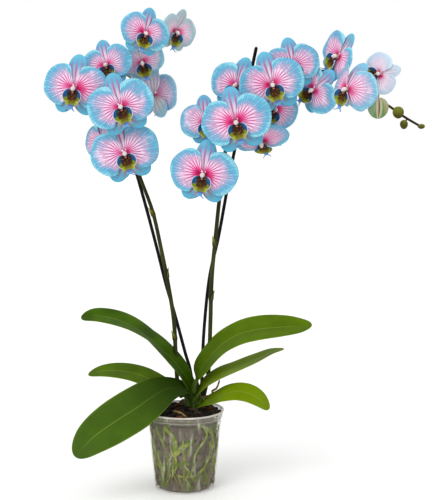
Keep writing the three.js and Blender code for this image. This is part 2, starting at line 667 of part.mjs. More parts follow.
function makePedicel(spike, bloom) {
  const turn = bloomTurn(bloom);
  const front = vec(0, 0, 1).applyMatrix4(turn);
  const up = vec(0, 1, 0).applyMatrix4(turn);
  const end = bloom.at.clone().addScaledVector(front, -TEPAL_THICKNESS / 2 - GAP);
  const wanted = end.clone().addScaledVector(front, -PEDICEL_BEHIND).addScaledVector(up, -PEDICEL_BELOW);
  let start = null;
  for (const point of spike.getSpacedPoints(120)) {
    if (start === null || point.distanceTo(wanted) < start.distanceTo(wanted)) {
      start = point;
    }
  }
  const reach = end.distanceTo(start) * 0.4;
  const leave = start.clone().lerp(end, 0.25).add(vec(0, 0, 0.25 * reach));
  const arrive = end.clone().addScaledVector(front, -reach);
  const curve = new THREE.CubicBezierCurve3(start, leave, arrive, end);
  const [thin, middle, thick] = PEDICEL_RADII;
  return limb(curve, [thin, middle, thick * bloom.size], TWIG_SIDES, 3);
}

const LARGE_BUD = { centre: vec(291, -20, 587), radii: [15.6, 14.5, 16.8], from: vec(288, 0, 603) };
const SMALL_BUDS = [
  { centre: vec(322, -14, 580), radii: [8.6, 8, 9.6], from: vec(318, -8, 583) },
  { centre: vec(331, -13, 562), radii: [6, 6, 7.4], from: vec(336, -11, 570) },
  { centre: vec(357, -14, 559), radii: [5.6, 4.2, 4], from: vec(350, -14, 562) },
];

const BUD_STALK_RADII = [1.5, 1.6, 1.8];
const SMALL_STALK_RADIUS = 1.3;

function makeBud({ centre, radii }, sides, rings) {
  const geometry = new THREE.SphereGeometry(1, sides, rings).rotateX(Math.PI / 2);
  return geometry.scale(...radii).translate(centre.x, centre.y, centre.z);
}

function spikeStem(side, grow) {
  const radii = SPIKE_TAPER.map((share) => SPIKE_RADIUS * share + grow);
  return limb(SPIKE_ROUTES[side], radii, STEM_SIDES, SPIKE_STEPS[side]);
}

function makeSpike(side) {
  const curve = new THREE.CatmullRomCurve3(SPIKE_ROUTES[side], false, "centripetal");
  const solids = [spikeStem(side, 0)];
  const mark = side === "left" ? "a" : "b";
  for (const [name, bloom] of Object.entries(BLOOMS)) {
    if (name.startsWith(mark)) {
      solids.push(makePedicel(curve, bloom));
    }
  }
  if (side === "right") {
    const top = LARGE_BUD.centre.clone().add(vec(0, 0, LARGE_BUD.radii[2] + GAP));
    const start = LARGE_BUD.from;
    const arc = new THREE.CubicBezierCurve3(start, start.clone().add(vec(0, -2, 9)),
      top.clone().add(vec(0, 0, 7)), top);
    solids.push(limb(arc, BUD_STALK_RADII, TWIG_SIDES, 5));
    for (const bud of SMALL_BUDS) {
      solids.push(makeBud(bud, 8, 5));
      const radii = [SMALL_STALK_RADIUS, SMALL_STALK_RADIUS];
      solids.push(limb([bud.from, bud.centre.clone()], radii, TWIG_SIDES, 1));
    }
  }
  return fuse(solids);
}

// The largest body of a solid, without scraps that a cut left loose
function whole(solid) {
  const parts = solid.decompose();
  return parts.reduce((best, part) => (part.volume() > best.volume() ? part : best));
}

// Assembly

const FACET_ALLOWANCE = 0.1;      // a grown round limb is cut from flat faces too

const roots = makeRoots(0);
const rootsGrown = makeRoots(GAP + FACET_ALLOWANCE);
const stakes = {};
const stakesGrown = {};
const spikes = {};
for (const side of ["left", "right"]) {
  stakes[side] = makeStake(STAKE_ROUTES[side], 0);
  stakesGrown[side] = makeStake(STAKE_ROUTES[side], GAP);
  spikes[side] = makeSpike(side).subtract(rootsGrown);
}

const bark = makeBark().subtract(rootsGrown).subtract(stakesGrown.left).subtract(stakesGrown.right);

addMesh("pot", toGeometry(makePot()), "pot");
addMesh("bark", toGeometry(whole(bark)), "bark");
addMesh("crown_and_roots", toGeometry(roots), "roots");

let taken = rootsGrown;
for (const side of ["left", "right"]) {
  taken = taken.add(toSolid(spikeStem(side, GAP))).add(stakesGrown[side]);
}
for (const [name, spec] of Object.entries(LEAVES)) {
  addMesh(name, toGeometry(whole(leafBlade(spec, 0).subtract(taken))), "leaf");
  taken = taken.add(leafBlade(spec, GAP));
}

for (const side of ["left", "right"]) {
  addMesh(`stake_${side}`, toGeometry(stakes[side]), "stake");
  addMesh(`spike_${side}`, toGeometry(whole(spikes[side])), "stem");
}

// Each bloom's petals wave differently
const PHASE_STEP = 1.7;

Object.entries(BLOOMS).forEach(([name, bloom], number) => {
  const spot = new THREE.Group();
  spot.position.copy(bloom.at);
  spot.quaternion.setFromRotationMatrix(bloomTurn(bloom));
  plant.add(spot);
  const shaped = { ...bloom, phase: number * PHASE_STEP };
  addMesh(`bloom_${name}`, makeTepals(shaped), "tepal", spot);
  addMesh(`lip_${name}`, toGeometry(makeLip(shaped)), "lip", spot);
});

addMesh("bud_large", makeBud(LARGE_BUD, 10, 7), "bud");

export default plant;
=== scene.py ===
# %% [markdown]
# # A moth orchid in a clear nursery pot
#
# The plant stands in bark in a clear pot. It has six strap leaves and two staked flower spikes with
# blue and pink blooms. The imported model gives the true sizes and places. This script builds the
# fine pieces over it, one after the other, and gives each its finish.
#
# The frame comes first, because everything else is placed in it: metres, +Z up, and the origin at
# the centre of the pot's underside.

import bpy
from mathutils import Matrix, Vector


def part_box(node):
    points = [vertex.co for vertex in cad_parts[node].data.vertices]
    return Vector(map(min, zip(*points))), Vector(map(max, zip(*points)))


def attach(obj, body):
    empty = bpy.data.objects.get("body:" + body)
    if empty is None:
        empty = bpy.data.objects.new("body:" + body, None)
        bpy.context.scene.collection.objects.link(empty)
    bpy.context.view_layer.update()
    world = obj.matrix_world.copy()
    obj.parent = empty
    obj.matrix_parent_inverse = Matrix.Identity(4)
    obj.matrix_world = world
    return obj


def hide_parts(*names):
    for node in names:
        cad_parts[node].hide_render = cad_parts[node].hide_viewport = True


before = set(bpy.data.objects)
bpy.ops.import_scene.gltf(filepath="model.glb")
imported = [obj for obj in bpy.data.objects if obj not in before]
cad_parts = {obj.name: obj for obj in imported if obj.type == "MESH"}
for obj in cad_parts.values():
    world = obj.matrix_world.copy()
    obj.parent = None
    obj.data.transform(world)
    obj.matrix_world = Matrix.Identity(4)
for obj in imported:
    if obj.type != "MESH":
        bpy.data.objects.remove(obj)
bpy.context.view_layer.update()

# %% [markdown]
# NumPy works on whole tables of points at once, which keeps the forms short to write. All that is
# left to chance is drawn from one seeded source, so each run gives the same plant.

# %% Libraries, units and chance
import math
import random

import bpy
import numpy as np
from mathutils import Matrix

MM = 0.001
FULL_TURN = 2 * math.pi
SEED = 11
chance = random.Random(SEED)

# %% [markdown]
# ## Camera, light and floor
#
# A long lens from nearly two metres away keeps the pot and the blooms in scale with each other, as
# in a catalogue picture. It looks down a little, so the bark shows over the pot's rim.

# %% Camera
CAMERA_PLACE = (0.054, -1.9, 0.58)
CAMERA_DOWN = 6.29
CAMERA_LENS = 90
FILM_WIDTH = 36
camera_data = bpy.data.cameras.new("camera")
camera_data.lens = CAMERA_LENS
camera_data.sensor_width = FILM_WIDTH
camera = bpy.data.objects.new("camera", camera_data)
camera.location = CAMERA_PLACE
camera.rotation_euler = (math.radians(90 - CAMERA_DOWN), 0, 0)
bpy.context.scene.collection.objects.link(camera)
bpy.context.scene.camera = camera
print(f"Camera: {CAMERA_LENS} mm lens at {CAMERA_PLACE} m, {CAMERA_DOWN} degrees down")

# %% [markdown]
# Soft light from all sides shows the dyed colours evenly, and one broad light from the upper left
# models the petals. A sun with a wide angle does that at the same strength all over the floor. An
# area light would leave a bright patch there. The Standard view keeps colours as they are set.

# %% Light
SKY_STRENGTH = 1.0
SUN_STRENGTH = 1.2
SUN_WIDTH = 35
SUN_TILT = 48
SUN_TURN = -32
scene = bpy.context.scene
scene.view_settings.view_transform = "Standard"
world = bpy.data.worlds.new("studio")
world.use_nodes = True
sky = world.node_tree.nodes["Background"]
sky.inputs["Color"].default_value = (1, 1, 1, 1)
sky.inputs["Strength"].default_value = SKY_STRENGTH
scene.world = world
sun_data = bpy.data.lights.new("key", "SUN")
sun_data.energy = SUN_STRENGTH
sun_data.angle = math.radians(SUN_WIDTH)
sun = bpy.data.objects.new("key", sun_data)
sun.rotation_euler = (math.radians(SUN_TILT), 0, math.radians(SUN_TURN))
scene.collection.objects.link(sun)
print(f"Light: sky {SKY_STRENGTH}, sun {SUN_STRENGTH} and {SUN_WIDTH} degrees wide")

# %% [markdown]
# ## Shader sums written as Python
#
# A finish is a sum over masks and colours. Wiring Math nodes by hand hides that sum, so a small
# class wraps an output socket and overloads the operators: 1 - mask then adds the Math node itself.
# Colours go through Mix nodes, because a Math node would turn them grey.

# %% A socket that does sums
class Wire:
    """One output socket of a material's node tree."""

    def __init__(self, paint, socket):
        self.paint = paint
        self.socket = socket

    def math(self, operation, *values):
        return self.paint.node("ShaderNodeMath", {"operation": operation}, dict(enumerate(values)))

    def __add__(self, other):
        return self.math("ADD", self, other)

    def __sub__(self, other):
        return self.math("SUBTRACT", self, other)

    def __rsub__(self, other):
        return self.math("SUBTRACT", other, self)

    def __mul__(self, other):
        return self.math("MULTIPLY", self, other)

    def __truediv__(self, other):
        return self.math("DIVIDE", self, other)

    def __pow__(self, other):
        return self.math("POWER", self, other)

    def __abs__(self):
        return self.math("ABSOLUTE", self)

    __radd__ = __add__
    __rmul__ = __mul__

    def sine(self):
        return self.math("SINE", self)

    def above(self, limit):
        return self.math("GREATER_THAN", self, limit)

    def most(self, other):
        return self.math("MAXIMUM", self, other)

    def fade(self, start, end):
        """0 before start and 1 past end, eased in between. It falls where start is the larger."""
        values = {"Value": self, "From Min": start, "From Max": end}
        return self.paint.node("ShaderNodeMapRange", {"interpolation_type": "SMOOTHSTEP"}, values)

    def waves(self):
        """Waves from 0 to 1 as the value grows, one for each turn of 2 pi."""
        return self.sine() * 0.5 + 0.5

    def ramp(self, *stops):
        """A colour from pairs of position and colour."""
        return self.paint.node("ShaderNodeValToRGB", {"stops": stops}, {"Fac": self})


# %% [markdown]
# One class holds a material while it is put together. Its method node adds any node from its type,
# its settings and the values of its sockets. Another lays tones over each other in turn, so each
# finish below reads as a few lines of sums. Colours are given as on a screen, from 0 to 255.

# %% A material in the making
def linear(colour):
    """A screen colour as the linear colour that a shader works in."""
    parts = [part / 255 for part in colour]
    return (*[s / 12.92 if s < 0.04045 else ((s + 0.055) / 1.055) ** 2.4 for s in parts], 1)


class Paint:
    """A material in the making."""

    def __init__(self, name):
        self.material = bpy.data.materials.new(name)
        self.material.use_nodes = True
        self.tree = self.material.node_tree
        self.shader = self.tree.nodes["Principled BSDF"]
        self.mesh_place = self.node("ShaderNodeTexCoord", output="Object")

    def put(self, socket, value):
        if isinstance(value, Wire):
            self.tree.links.new(value.socket, socket)
        else:
            socket.default_value = linear(value) if socket.type == "RGBA" else value

    def node(self, kind, settings=None, sockets=None, output=0):
        node = self.tree.nodes.new(kind)
        for name, value in (settings or {}).items():
            if name == "stops":
                self.set_stops(node.color_ramp, value)
            else:
                setattr(node, name, value)
        for key, value in (sockets or {}).items():
            self.put(node.inputs[key], value)
        return Wire(self, node.outputs[output])

    def set_stops(self, ramp, stops):
        while len(ramp.elements) < len(stops):
            ramp.elements.new(1)
        for element, (position, colour) in zip(ramp.elements, stops):
            element.position = position
            element.color = linear(colour)

    def numbers(self, name):
        """The three numbers that each point of the mesh carries under a name."""
        carried = self.node("ShaderNodeAttribute", {"attribute_name": name}, output="Vector")
        parts = self.node("ShaderNodeSeparateXYZ", None, {0: carried}).socket.node
        return [Wire(self, socket) for socket in parts.outputs]

    def height(self):
        """The height of the point that is being shaded, in millimetres."""
        return self.node("ShaderNodeSeparateXYZ", None, {0: self.mesh_place}, output="Z") / MM

    def noise(self, scale, detail=3.0, stretch=(1, 1, 1)):
        """Soft noise round 0, scale in blotches a metre."""
        place = self.node("ShaderNodeVectorMath", {"operation": "MULTIPLY"},
                          {0: self.mesh_place, 1: stretch})
        made = self.node("ShaderNodeTexNoise", None,
                         {"Vector": place, "Scale": scale, "Detail": detail})
        return made - 0.5

    def mix(self, first, second, share):
        settings = {"data_type": "RGBA"}
        return self.node("ShaderNodeMix", settings, {0: share, 6: first, 7: second}, output=2)

    def layers(self, tone, *over):
        """A tone with others laid over it in turn, given as pairs of colour and share."""
        for colour, share in over:
            tone = self.mix(tone, colour, share)
        return tone

    def bump(self, height, depth, strength):
        return self.node("ShaderNodeBump", None,
                         {"Height": height, "Distance": depth, "Strength": strength})

    def finish(self, **sockets):
        """Sets the shader's own sockets, named with _ for each space, and returns the material."""
        for name, value in sockets.items():
            self.put(self.shader.inputs[name.replace("_", " ")], value)
        return self.material


# %% [markdown]
# The floor is a plain pale board. It goes on past the camera's view, so no edge of it shows.

# %% Floor
FLOOR_HALF = 30.0
FLOOR_TONES = (244, 244, 243), (248, 248, 248)
floor_paint = Paint("floor")
floor_tone = floor_paint.mix(*FLOOR_TONES, floor_paint.noise(2) + 0.5)
floor_mesh = bpy.data.meshes.new("floor")
floor_mesh.from_pydata([(x * FLOOR_HALF, y * FLOOR_HALF, 0)
                        for x, y in ((-1, -1), (1, -1), (1, 1), (-1, 1))], [], [(0, 1, 2, 3)])
floor_mesh.materials.append(floor_paint.finish(Base_Color=floor_tone, Roughness=0.6))
floor = bpy.data.objects.new("floor", floor_mesh)
scene.collection.objects.link(floor)
print(f"Floor: {2 * FLOOR_HALF:.0f} m wide")

# %% [markdown]
# ## Forms in mesh code
#
# Petals and leaves are thin sheets with a known outline, and stems are round limbs along a line.
# Both could be sculpted, but a formula gives every copy its own wave, and keeps each one on the
# solid that it stands for. A form here is a set of points and faces. Each point also carries two
# triples of numbers, its spot on the piece and its tone, and the finishes read those.

# %% What a form is
class Form:
    """Points in mm, four-cornered faces, and a spot and a tone for each point."""

    def __init__(self, points, faces, spot, tone=(0, 0, 0)):
        self.points = np.asarray(points, float).reshape(-1, 3)
        self.faces = np.asarray(faces, int).reshape(-1, 4)
        self.spot = np.asarray(spot, float).reshape(-1, 3)
        self.tone = np.broadcast_to(np.asarray(tone, float), self.points.shape).copy()

    def moved(self, matrix):
        turn = np.array(matrix.to_3x3())
        points = self.points @ turn.T + np.array(matrix.translation)
        return Form(points, self.faces, self.spot, self.tone)


def joined(forms):
    """Several forms as one."""
    starts = np.cumsum([0] + [len(form.points) for form in forms])
    faces = [form.faces + start for form, start in zip(forms, starts)]
    return Form(np.vstack([form.points for form in forms]), np.vstack(faces),
                np.vstack([form.spot for form in forms]), np.vstack([form.tone for form in forms]))


def grid_faces(numbers):
    """Faces between the rows of a table of point numbers, seen from the side that a petal shows."""
    corners = [numbers[:-1, :-1], numbers[1:, :-1], numbers[1:, 1:], numbers[:-1, 1:]]
    return np.stack(corners, axis=-1).reshape(-1, 4)


def grid(rows, spot, tone=(0, 0, 0)):
    """A sheet from a table of points."""
    numbers = np.arange(rows.shape[0] * rows.shape[1]).reshape(rows.shape[:2])
    return Form(rows, grid_faces(numbers), spot, tone)


# %% [markdown]
# Four small helpers take up what the forms have in common: tables of rows and columns, three tables
# side by side as points, directions of length 1, and even turns round a circle.

# %% Helpers for tables of points
def table(rows, columns):
    """Two tables, with the row's value and the column's value for each point of a grid."""
    return np.meshgrid(rows, columns, indexing="ij")


def triples(*parts):
    """Numbers or tables side by side, as one triple for each point."""
    return np.stack(np.broadcast_arrays(*parts), axis=-1)


def unit(vectors):
    """The same directions with length 1."""
    return vectors / np.maximum(np.linalg.norm(vectors, axis=-1, keepdims=True), 1e-9)


def even_turns(count):
    return np.linspace(0, FULL_TURN, count, endpoint=False)


# %% [markdown]
# A sheet becomes a closed body by moving its points both ways along their normals and walling the
# free edges. The thickness may differ from point to point, which gives petals a fine rim.

# %% Give a sheet its thickness
def normals_of(form):
    corners = form.points[form.faces]
    crossed = np.cross(corners[:, 2] - corners[:, 0], corners[:, 3] - corners[:, 1])
    normals = np.zeros_like(form.points)
    for corner in range(4):
        np.add.at(normals, form.faces[:, corner], crossed)
    return unit(normals)


def free_edges(faces):
    """The edges that only one face has, each in that face's direction."""
    edges = {(a, b) for face in faces.tolist() for a, b in zip(face, face[1:] + face[:1]) if a != b}
    return sorted(edge for edge in edges if edge[::-1] not in edges)


def thickened(form, half):
    """A closed body round a sheet. The tone's last number is 1 on its back."""
    shift = normals_of(form) * np.broadcast_to(half, len(form.points))[:, None]
    count = len(form.points)
    walls = [(b, a, a + count, b + count) for a, b in free_edges(form.faces)]
    faces = np.vstack([form.faces, form.faces[:, ::-1] + count, walls])
    tone = np.vstack([form.tone, form.tone])
    tone[:, 2] = np.repeat([0, 1], count)
    points = np.vstack([form.points + shift, form.points - shift])
    return Form(points, faces, np.vstack([form.spot, form.spot]), tone)


# %% [markdown]
# Stems, roots and stakes follow a smooth line through a few points. The line is a centripetal
# Catmull-Rom spline, which passes through its points without loops, sampled at even steps.

# %% Smooth lines
STEPS_BETWEEN_KNOTS = 16


def smooth_line(knots, count):
    """Evenly spaced points on the smooth line through the knots."""
    knots = np.asarray(knots, float)
    ends = [2 * knots[0] - knots[1], 2 * knots[-1] - knots[-2]]
    every = np.vstack([ends[0], knots, ends[1]])
    t = np.linspace(0, 1, STEPS_BETWEEN_KNOTS, endpoint=False)[:, None]
    fine = []
    roots = np.sqrt(np.linalg.norm(np.diff(every, axis=0), axis=1))
    for number, (a, b, c, d) in enumerate(zip(every, every[1:], every[2:], every[3:])):
        first, middle, last = roots[number:number + 3]
        leave = middle * ((b - a) / first - (c - a) / (first + middle)) + (c - b)
        arrive = middle * ((d - c) / last - (d - b) / (middle + last)) + (c - b)
        fine.append(b * (1 + t * t * (2 * t - 3)) + leave * t * (1 - t) ** 2
                    + c * t * t * (3 - 2 * t) + arrive * t * t * (t - 1))
    return spaced(np.vstack([*fine, knots[-1:]]), count)


def spaced(line, count):
    """The same line with evenly spaced points."""
    travelled = np.concatenate([[0], np.cumsum(np.linalg.norm(np.diff(line, axis=0), axis=1))])
    wanted = np.linspace(0, travelled[-1], count)
    return np.stack([np.interp(wanted, travelled, line[:, axis]) for axis in range(3)], axis=1)


def shares(values, along):
    """Values given at even steps, read at each share of the length."""
    return np.interp(along, np.linspace(0, 1, len(values)), values)


# %% [markdown]
# A limb's rings must not twist along a bend. Each ring takes its direction from the one before it,
# turned as little as the line turns. The first takes a slanting one that no limb here starts along.
# Both ends are rounded off.

# %% Round limbs
ROUND_END = ((0.55, 0.8), (0.9, 0.42), (1.0, 0.12))
FIRST_SIDE = (0.31, 0.87, 0.39)


def limb(line, radii, sides, tone=(0, 0, 0)):
    """A closed limb along a line. Its spot is its share of the length and turn, and its radius."""
    along = np.linspace(0, 1, len(line))
    radii = shares(radii, along)
    tangents = unit(np.gradient(line, axis=0))
    side = np.cross(tangents[0], FIRST_SIDE)
    rings = []
    angles = even_turns(sides)

    def ring(centre, tangent, radius, share):
        other = np.cross(tangent, side)
        spokes = np.cos(angles)[:, None] * side + np.sin(angles)[:, None] * other
        rings.append((centre + radius * spokes, triples(share, angles / FULL_TURN, radius)))

    for number, (centre, tangent, radius) in enumerate(zip(line, tangents, radii)):
        side = unit(side - tangent * side.dot(tangent))
        if number == 0:
            for out, width in reversed(ROUND_END):
                ring(centre - tangent * radius * out, tangent, radius * width, 0)
        ring(centre, tangent, radius, along[number])
    for out, width in ROUND_END:
        ring(line[-1] + tangents[-1] * radii[-1] * out, tangents[-1], radii[-1] * width, 1)
    points, spots = (np.stack(tables) for tables in zip(*rings))
    return capped(points, spots, tone)


def capped(points, spots, tone):
    """Closes a stack of rings into one body, with a fan of faces at each end."""
    levels, sides = points.shape[:2]
    numbers = np.arange(levels * sides).reshape(levels, sides)
    round_numbers = np.hstack([numbers, numbers[:, :1]])
    faces = grid_faces(round_numbers)[:, ::-1]
    fans = []
    for k in range(1, sides - 1):
        fans.append([numbers[0, 0], numbers[0, k + 1], numbers[0, k], numbers[0, k]])
        fans.append([numbers[-1, 0], numbers[-1, k], numbers[-1, k + 1], numbers[-1, k + 1]])
    return Form(points, np.vstack([faces, fans]), spots, tone)


# %% [markdown]
# Every piece rides on the frame's one body and stands for the solids that it replaces. A check of
# its box against theirs shows at once when a piece has slipped from its place.

# %% Put a form in the scene
def mesh_of(name, form):
    """A form as a mesh in metres. A face that names one corner twice becomes a triangle."""
    mesh = bpy.data.meshes.new(name)
    faces = [list(dict.fromkeys(face)) for face in form.faces.tolist()]
    mesh.from_pydata(form.points * MM, [], faces)
    return mesh


def add_piece(name, form, material, slot, *nodes):
    """A form as a piece that stands for CAD nodes."""
    mesh = mesh_of(name, form)
    mesh.shade_smooth()
    for title, values in (("spot", form.spot), ("tone", form.tone)):
        carried = mesh.attributes.new(title, "FLOAT_VECTOR", "POINT")
        carried.data.foreach_set("vector", values.astype(np.float32).ravel())
    mesh.materials.append(material)
    piece = bpy.data.objects.new(name, mesh)
    scene.collection.objects.link(piece)
    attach(piece, "root")
    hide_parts(*nodes)
    report_fit(name, form, nodes)
    return piece


def report_fit(name, form, nodes):
    """Prints the faces of a piece and how far its box stands out of its nodes' box."""
    corners = [np.array(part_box(node)) / MM for node in nodes]
    low = np.min([corner[0] for corner in corners], axis=0)
    high = np.max([corner[1] for corner in corners], axis=0)
    proud = max((low - form.points.min(axis=0)).max(), (form.points.max(axis=0) - high).max())
    print(f"{name}: {len(form.faces)} faces, {proud:.1f} mm out of its solid's box")


# %% [markdown]
# ## The pot
#
# The real pot is thin clear plastic, drawn over a mould: a stepped foot, a slanting wall, a rolled
# rim and two fine rings under it. Turning an outline round the axis gives all of that in one closed
# body. The outline runs up the outside and back down the inside.

# %% Turn an outline
POT_HEIGHT = 123
POT_RIM_RADIUS = 61.2
RIM_START = 111
SHOULDER_RADIUS = 57.6
FOOT_RADIUS = 47.3
FOOT_TOP = 8.6
POT_WALL = 1
POT_FLOOR = 1.4
POT_SIDES = 144
LOW_RING = 112.2
HIGH_RING = 117
BEAD_FLAT = 0.4
BEAD_ROOT = 0.1


def wall_radius(height):
    """Inner radius of the pot's wall at a height."""
    up = (height - FOOT_TOP) / (RIM_START - FOOT_TOP)
    return FOOT_RADIUS + up * (SHOULDER_RADIUS - FOOT_RADIUS) - POT_WALL


def ring_bead(radius, height, bulge, half):
    """Outline points of a fine ring that stands out of the wall."""
    return [(radius - BEAD_ROOT, height - half), (radius + bulge, height - half * BEAD_FLAT),
            (radius + bulge, height + half * BEAD_FLAT), (radius, height + half)]


outside = [(0, 0.6), (34, 0.6), (36, 0), (43.6, 0), (44.8, 0.5), (45.5, 1.5), (45.7, 3.4),
           (46.0, 3.6), (46.1, 6.6), (46.4, 7.2), (FOOT_RADIUS, FOOT_TOP)]
outside += [(wall_radius(height) + POT_WALL, height) for height in (12, 40, 70, 100, 109)]
outside += ring_bead(58.0, LOW_RING, 0.8, 0.9) + ring_bead(58.9, HIGH_RING, 0.7, 0.6)
outside += [(59.3, 119.8), (60.4, 120.3), (61.0, 121), (POT_RIM_RADIUS, 121.8), (60.9, 122.6),
            (60.2, POT_HEIGHT), (59.2, 122.8)]
inside = [(58.6, 122), (58.2, 118), (57.7, 113), (56.6, RIM_START)]
inside += [(wall_radius(height), height) for height in (100, 70, 40, 12)]
inside += [(46.2, FOOT_TOP + POT_WALL), (45.0, 7.4), (44.6, 3.6), (43.9, 2.2), (42.4, POT_FLOOR),
           (20, POT_FLOOR), (0, POT_FLOOR)]


def turned(outline, sides, tone=(0, 0, 0)):
    """A closed body from an outline of radius and height, whose ends lie on the axis."""
    rims = np.array([point for point in outline if point[0] > 0])
    radius, height = rims[:, :1], rims[:, 1:]
    angles = even_turns(sides)
    points = triples(radius * np.cos(angles), radius * np.sin(angles), height)
    return capped(points, triples(radius / POT_RIM_RADIUS, angles / FULL_TURN, height), tone)


# %% [markdown]
# Orchid pots drain through many small holes, in the base and low in the wall. They are cut with one
# Boolean, because its edges come out clean where the holes cross the foot's steps.

# %% Drain holes
DRAIN_COUNT = 6
DRAIN_RING = 30
DRAIN_RADIUS = 4
DRAIN_CUT = (-3, 0, 5)
DRAIN_SIDES = 20
FOOT_HOLE_RADIUS = 2.2
FOOT_HOLE_HEIGHT = 4.4
FOOT_HOLE_TURN = 12
FOOT_HOLE_CUT = (42, 46, 50)
FOOT_HOLE_SIDES = 16


def cut_holes(piece, cutters):
    """Cuts closed forms out of a piece."""
    tool = bpy.data.objects.new("cutters", mesh_of("cutters", joined(cutters)))
    scene.collection.objects.link(tool)
    step = piece.modifiers.new("holes", "BOOLEAN")
    step.object = tool
    step.solver = "EXACT"
    bpy.context.view_layer.update()
    seen = piece.evaluated_get(bpy.context.evaluated_depsgraph_get())
    cut = bpy.data.meshes.new_from_object(seen)
    piece.modifiers.remove(step)
    piece.data = cut
    bpy.data.objects.remove(tool)
    cut.shade_smooth()
    print(f"{piece.name}: {len(cutters)} holes cut, {len(cut.polygons)} faces now")


def drain_holes():
    """Rods up through the base, and spokes out through the foot between them."""
    holes = []
    for number in range(DRAIN_COUNT):
        turn = FULL_TURN * (number + 0.5) / DRAIN_COUNT
        x, y = DRAIN_RING * math.cos(turn), DRAIN_RING * math.sin(turn)
        line = np.array([(x, y, height) for height in DRAIN_CUT])
        holes.append(limb(line, [DRAIN_RADIUS] * 2, DRAIN_SIDES))
        turn = FULL_TURN * number / DRAIN_COUNT + math.radians(FOOT_HOLE_TURN)
        spoke = np.array([math.cos(turn), math.sin(turn), 0])
        line = np.array([spoke * reach + (0, 0, FOOT_HOLE_HEIGHT) for reach in FOOT_HOLE_CUT])
        holes.append(limb(line, [FOOT_HOLE_RADIUS] * 2, FOOT_HOLE_SIDES))
    return holes


# %% [markdown]
# Clear nursery plastic is hazy: light comes through, and the wall also shines grey by itself. An
# Alpha below 1 on a pale grey shader gives both, and survives an export better than glass would.
# The rim, the band under it and the rings are thicker, so they are milkier. Scuffs run down the
# wall, damp roots leave a green film on it, and it darkens towards the foot.

# %% Pot finish
RINGS = (LOW_RING, 1, 0.5), (HIGH_RING, 0.8, 0.4), (3.5, 1, 0.4), (7, 0.8, 0.4)
RIM_BAND = (119, 120.5)
MILKY_BAND = (108, 112)
DAMP_BAND = (64, 6)


def pot_finish():
    paint = Paint("clear_plastic")
    height = paint.height()
    haze = paint.noise(45, 4, (1, 1, 0.35))
    specks = paint.noise(900, 2)
    near_rings = [abs(height - ring).fade(start, end) for ring, start, end in RINGS]
    rings = near_rings[0].most(near_rings[1]).most(near_rings[2]).most(near_rings[3])
    rim = height.fade(*RIM_BAND)
    streaks = paint.noise(150, 3, (1, 1, 0.2)).fade(0.06, 0.2)
    film = paint.noise(52, 4, (1, 1, 1.6)).fade(0.04, 0.14)
    alpha = (0.1 + haze * 0.2 + streaks * 0.22 + film * 0.22 + rings * 0.1 + rim * 0.35
             + height.fade(*MILKY_BAND) * 0.22 + specks.fade(0.12, 0.3) * 0.05)
    tone = paint.layers(
        paint.mix((128, 122, 106), (162, 158, 144), haze + 0.5),
        ((92, 86, 48), height.fade(*DAMP_BAND) * 0.5),
        ((108, 134, 30), film * 0.8),
        ((206, 206, 190), streaks * 0.7),
        ((206, 200, 190), (rings * 0.4).most(rim)))
    return paint.finish(Base_Color=tone, Roughness=0.32 + haze * 0.3, Alpha=alpha,
                        Normal=paint.bump(haze + specks * 0.2, 0.0004, 0.5),
                        Specular_IOR_Level=0.35)


pot_form = turned(outside + inside, POT_SIDES)
pot = add_piece("clear_pot", pot_form, pot_finish(), "pot_plastic", "pot")
cut_holes(pot, drain_holes())

# %% [markdown]
# ## Roots and crown
#
# Orchid roots like light, so they run down the inside of the clear wall, and they are what shows
# through it. Each is given by degrees round the pot from the front and by height, so that it can be
# read off the wall as drawn on it.

# %% Where the roots run
ROOT_RADIUS = 2.9
ROOT_TAPER = (1, 1, 0.6)
ROOT_SIDES = 14
ROOT_WALL_GAP = 1.3
ROOT_START = (14, 5, 104)
WALL_POINTS_A_KNOT = 6
ROOT_POINTS_A_KNOT = 14
WALL_ROOTS = [
    [(-34, 104), (-15, 84), (-16, 62), (-3, 77), (11, 78), (9, 64), (3, 50), (0, 32), (2, 15)],
    [(34, 106), (58, 88), (60, 67), (50, 50), (38, 36), (20, 28), (-12, 28)],
    [(-56, 100), (-38, 76), (-31, 60), (-30, 42), (-34, 24)],
    [(-92, 98), (-78, 78), (-64, 56), (-72, 34)],
    [(120, 100), (108, 74), (124, 52), (114, 30)],
    [(178, 104), (162, 80), (176, 56), (160, 36), (170, 18)],
]


def wall_point(degrees, height, inset):
    """A point at an inset from the wall, by degrees round the pot from its front."""
    radius = wall_radius(height) - inset
    turn = math.radians(degrees)
    return (radius * math.sin(turn), -radius * math.cos(turn), height)


def root_line(route):
    """The line of a root: out of the crown under the bark, then over the inside of the wall."""
    flat = smooth_line([(*knot, 0) for knot in route], WALL_POINTS_A_KNOT * len(route))
    outer = [wall_point(x, y, ROOT_RADIUS + ROOT_WALL_GAP) for x, y, _ in flat]
    halfway = np.mean([ROOT_START, outer[0]], axis=0)
    return spaced(np.vstack([ROOT_START, halfway, outer]), ROOT_POINTS_A_KNOT * len(route))


def root_limb(line, radius, sides, tone=(0, 0, 0)):
    """A root that thins towards its tip."""
    return limb(line, [radius * share for share in ROOT_TAPER], sides, tone)


root_forms = [root_limb(root_line(route), ROOT_RADIUS, ROOT_SIDES) for route in WALL_ROOTS]
print(f"{len(root_forms)} roots on the wall, {2 * ROOT_RADIUS} mm thick")

# %% [markdown]
# Thinner roots fill in between the main ones, on the side that shows and behind. Their courses are
# drawn by seeded chance: a start high on the wall, and a wander down it.

# %% Fine roots
FINE_ROOTS = 26
FINE_RADII = (1.1, 1.9)
FINE_WALL_GAP = 0.7
FINE_TURN = 8
FINE_STARTS = (62, 104)
FINE_WANDER = 15
FINE_DROPS = (9, 19)
FINE_LOWEST = 9
FINE_KNOTS = 7
FINE_TONES = (0.3, 0.8)
FINE_POINTS_A_KNOT = 10
FINE_SIDES = 8


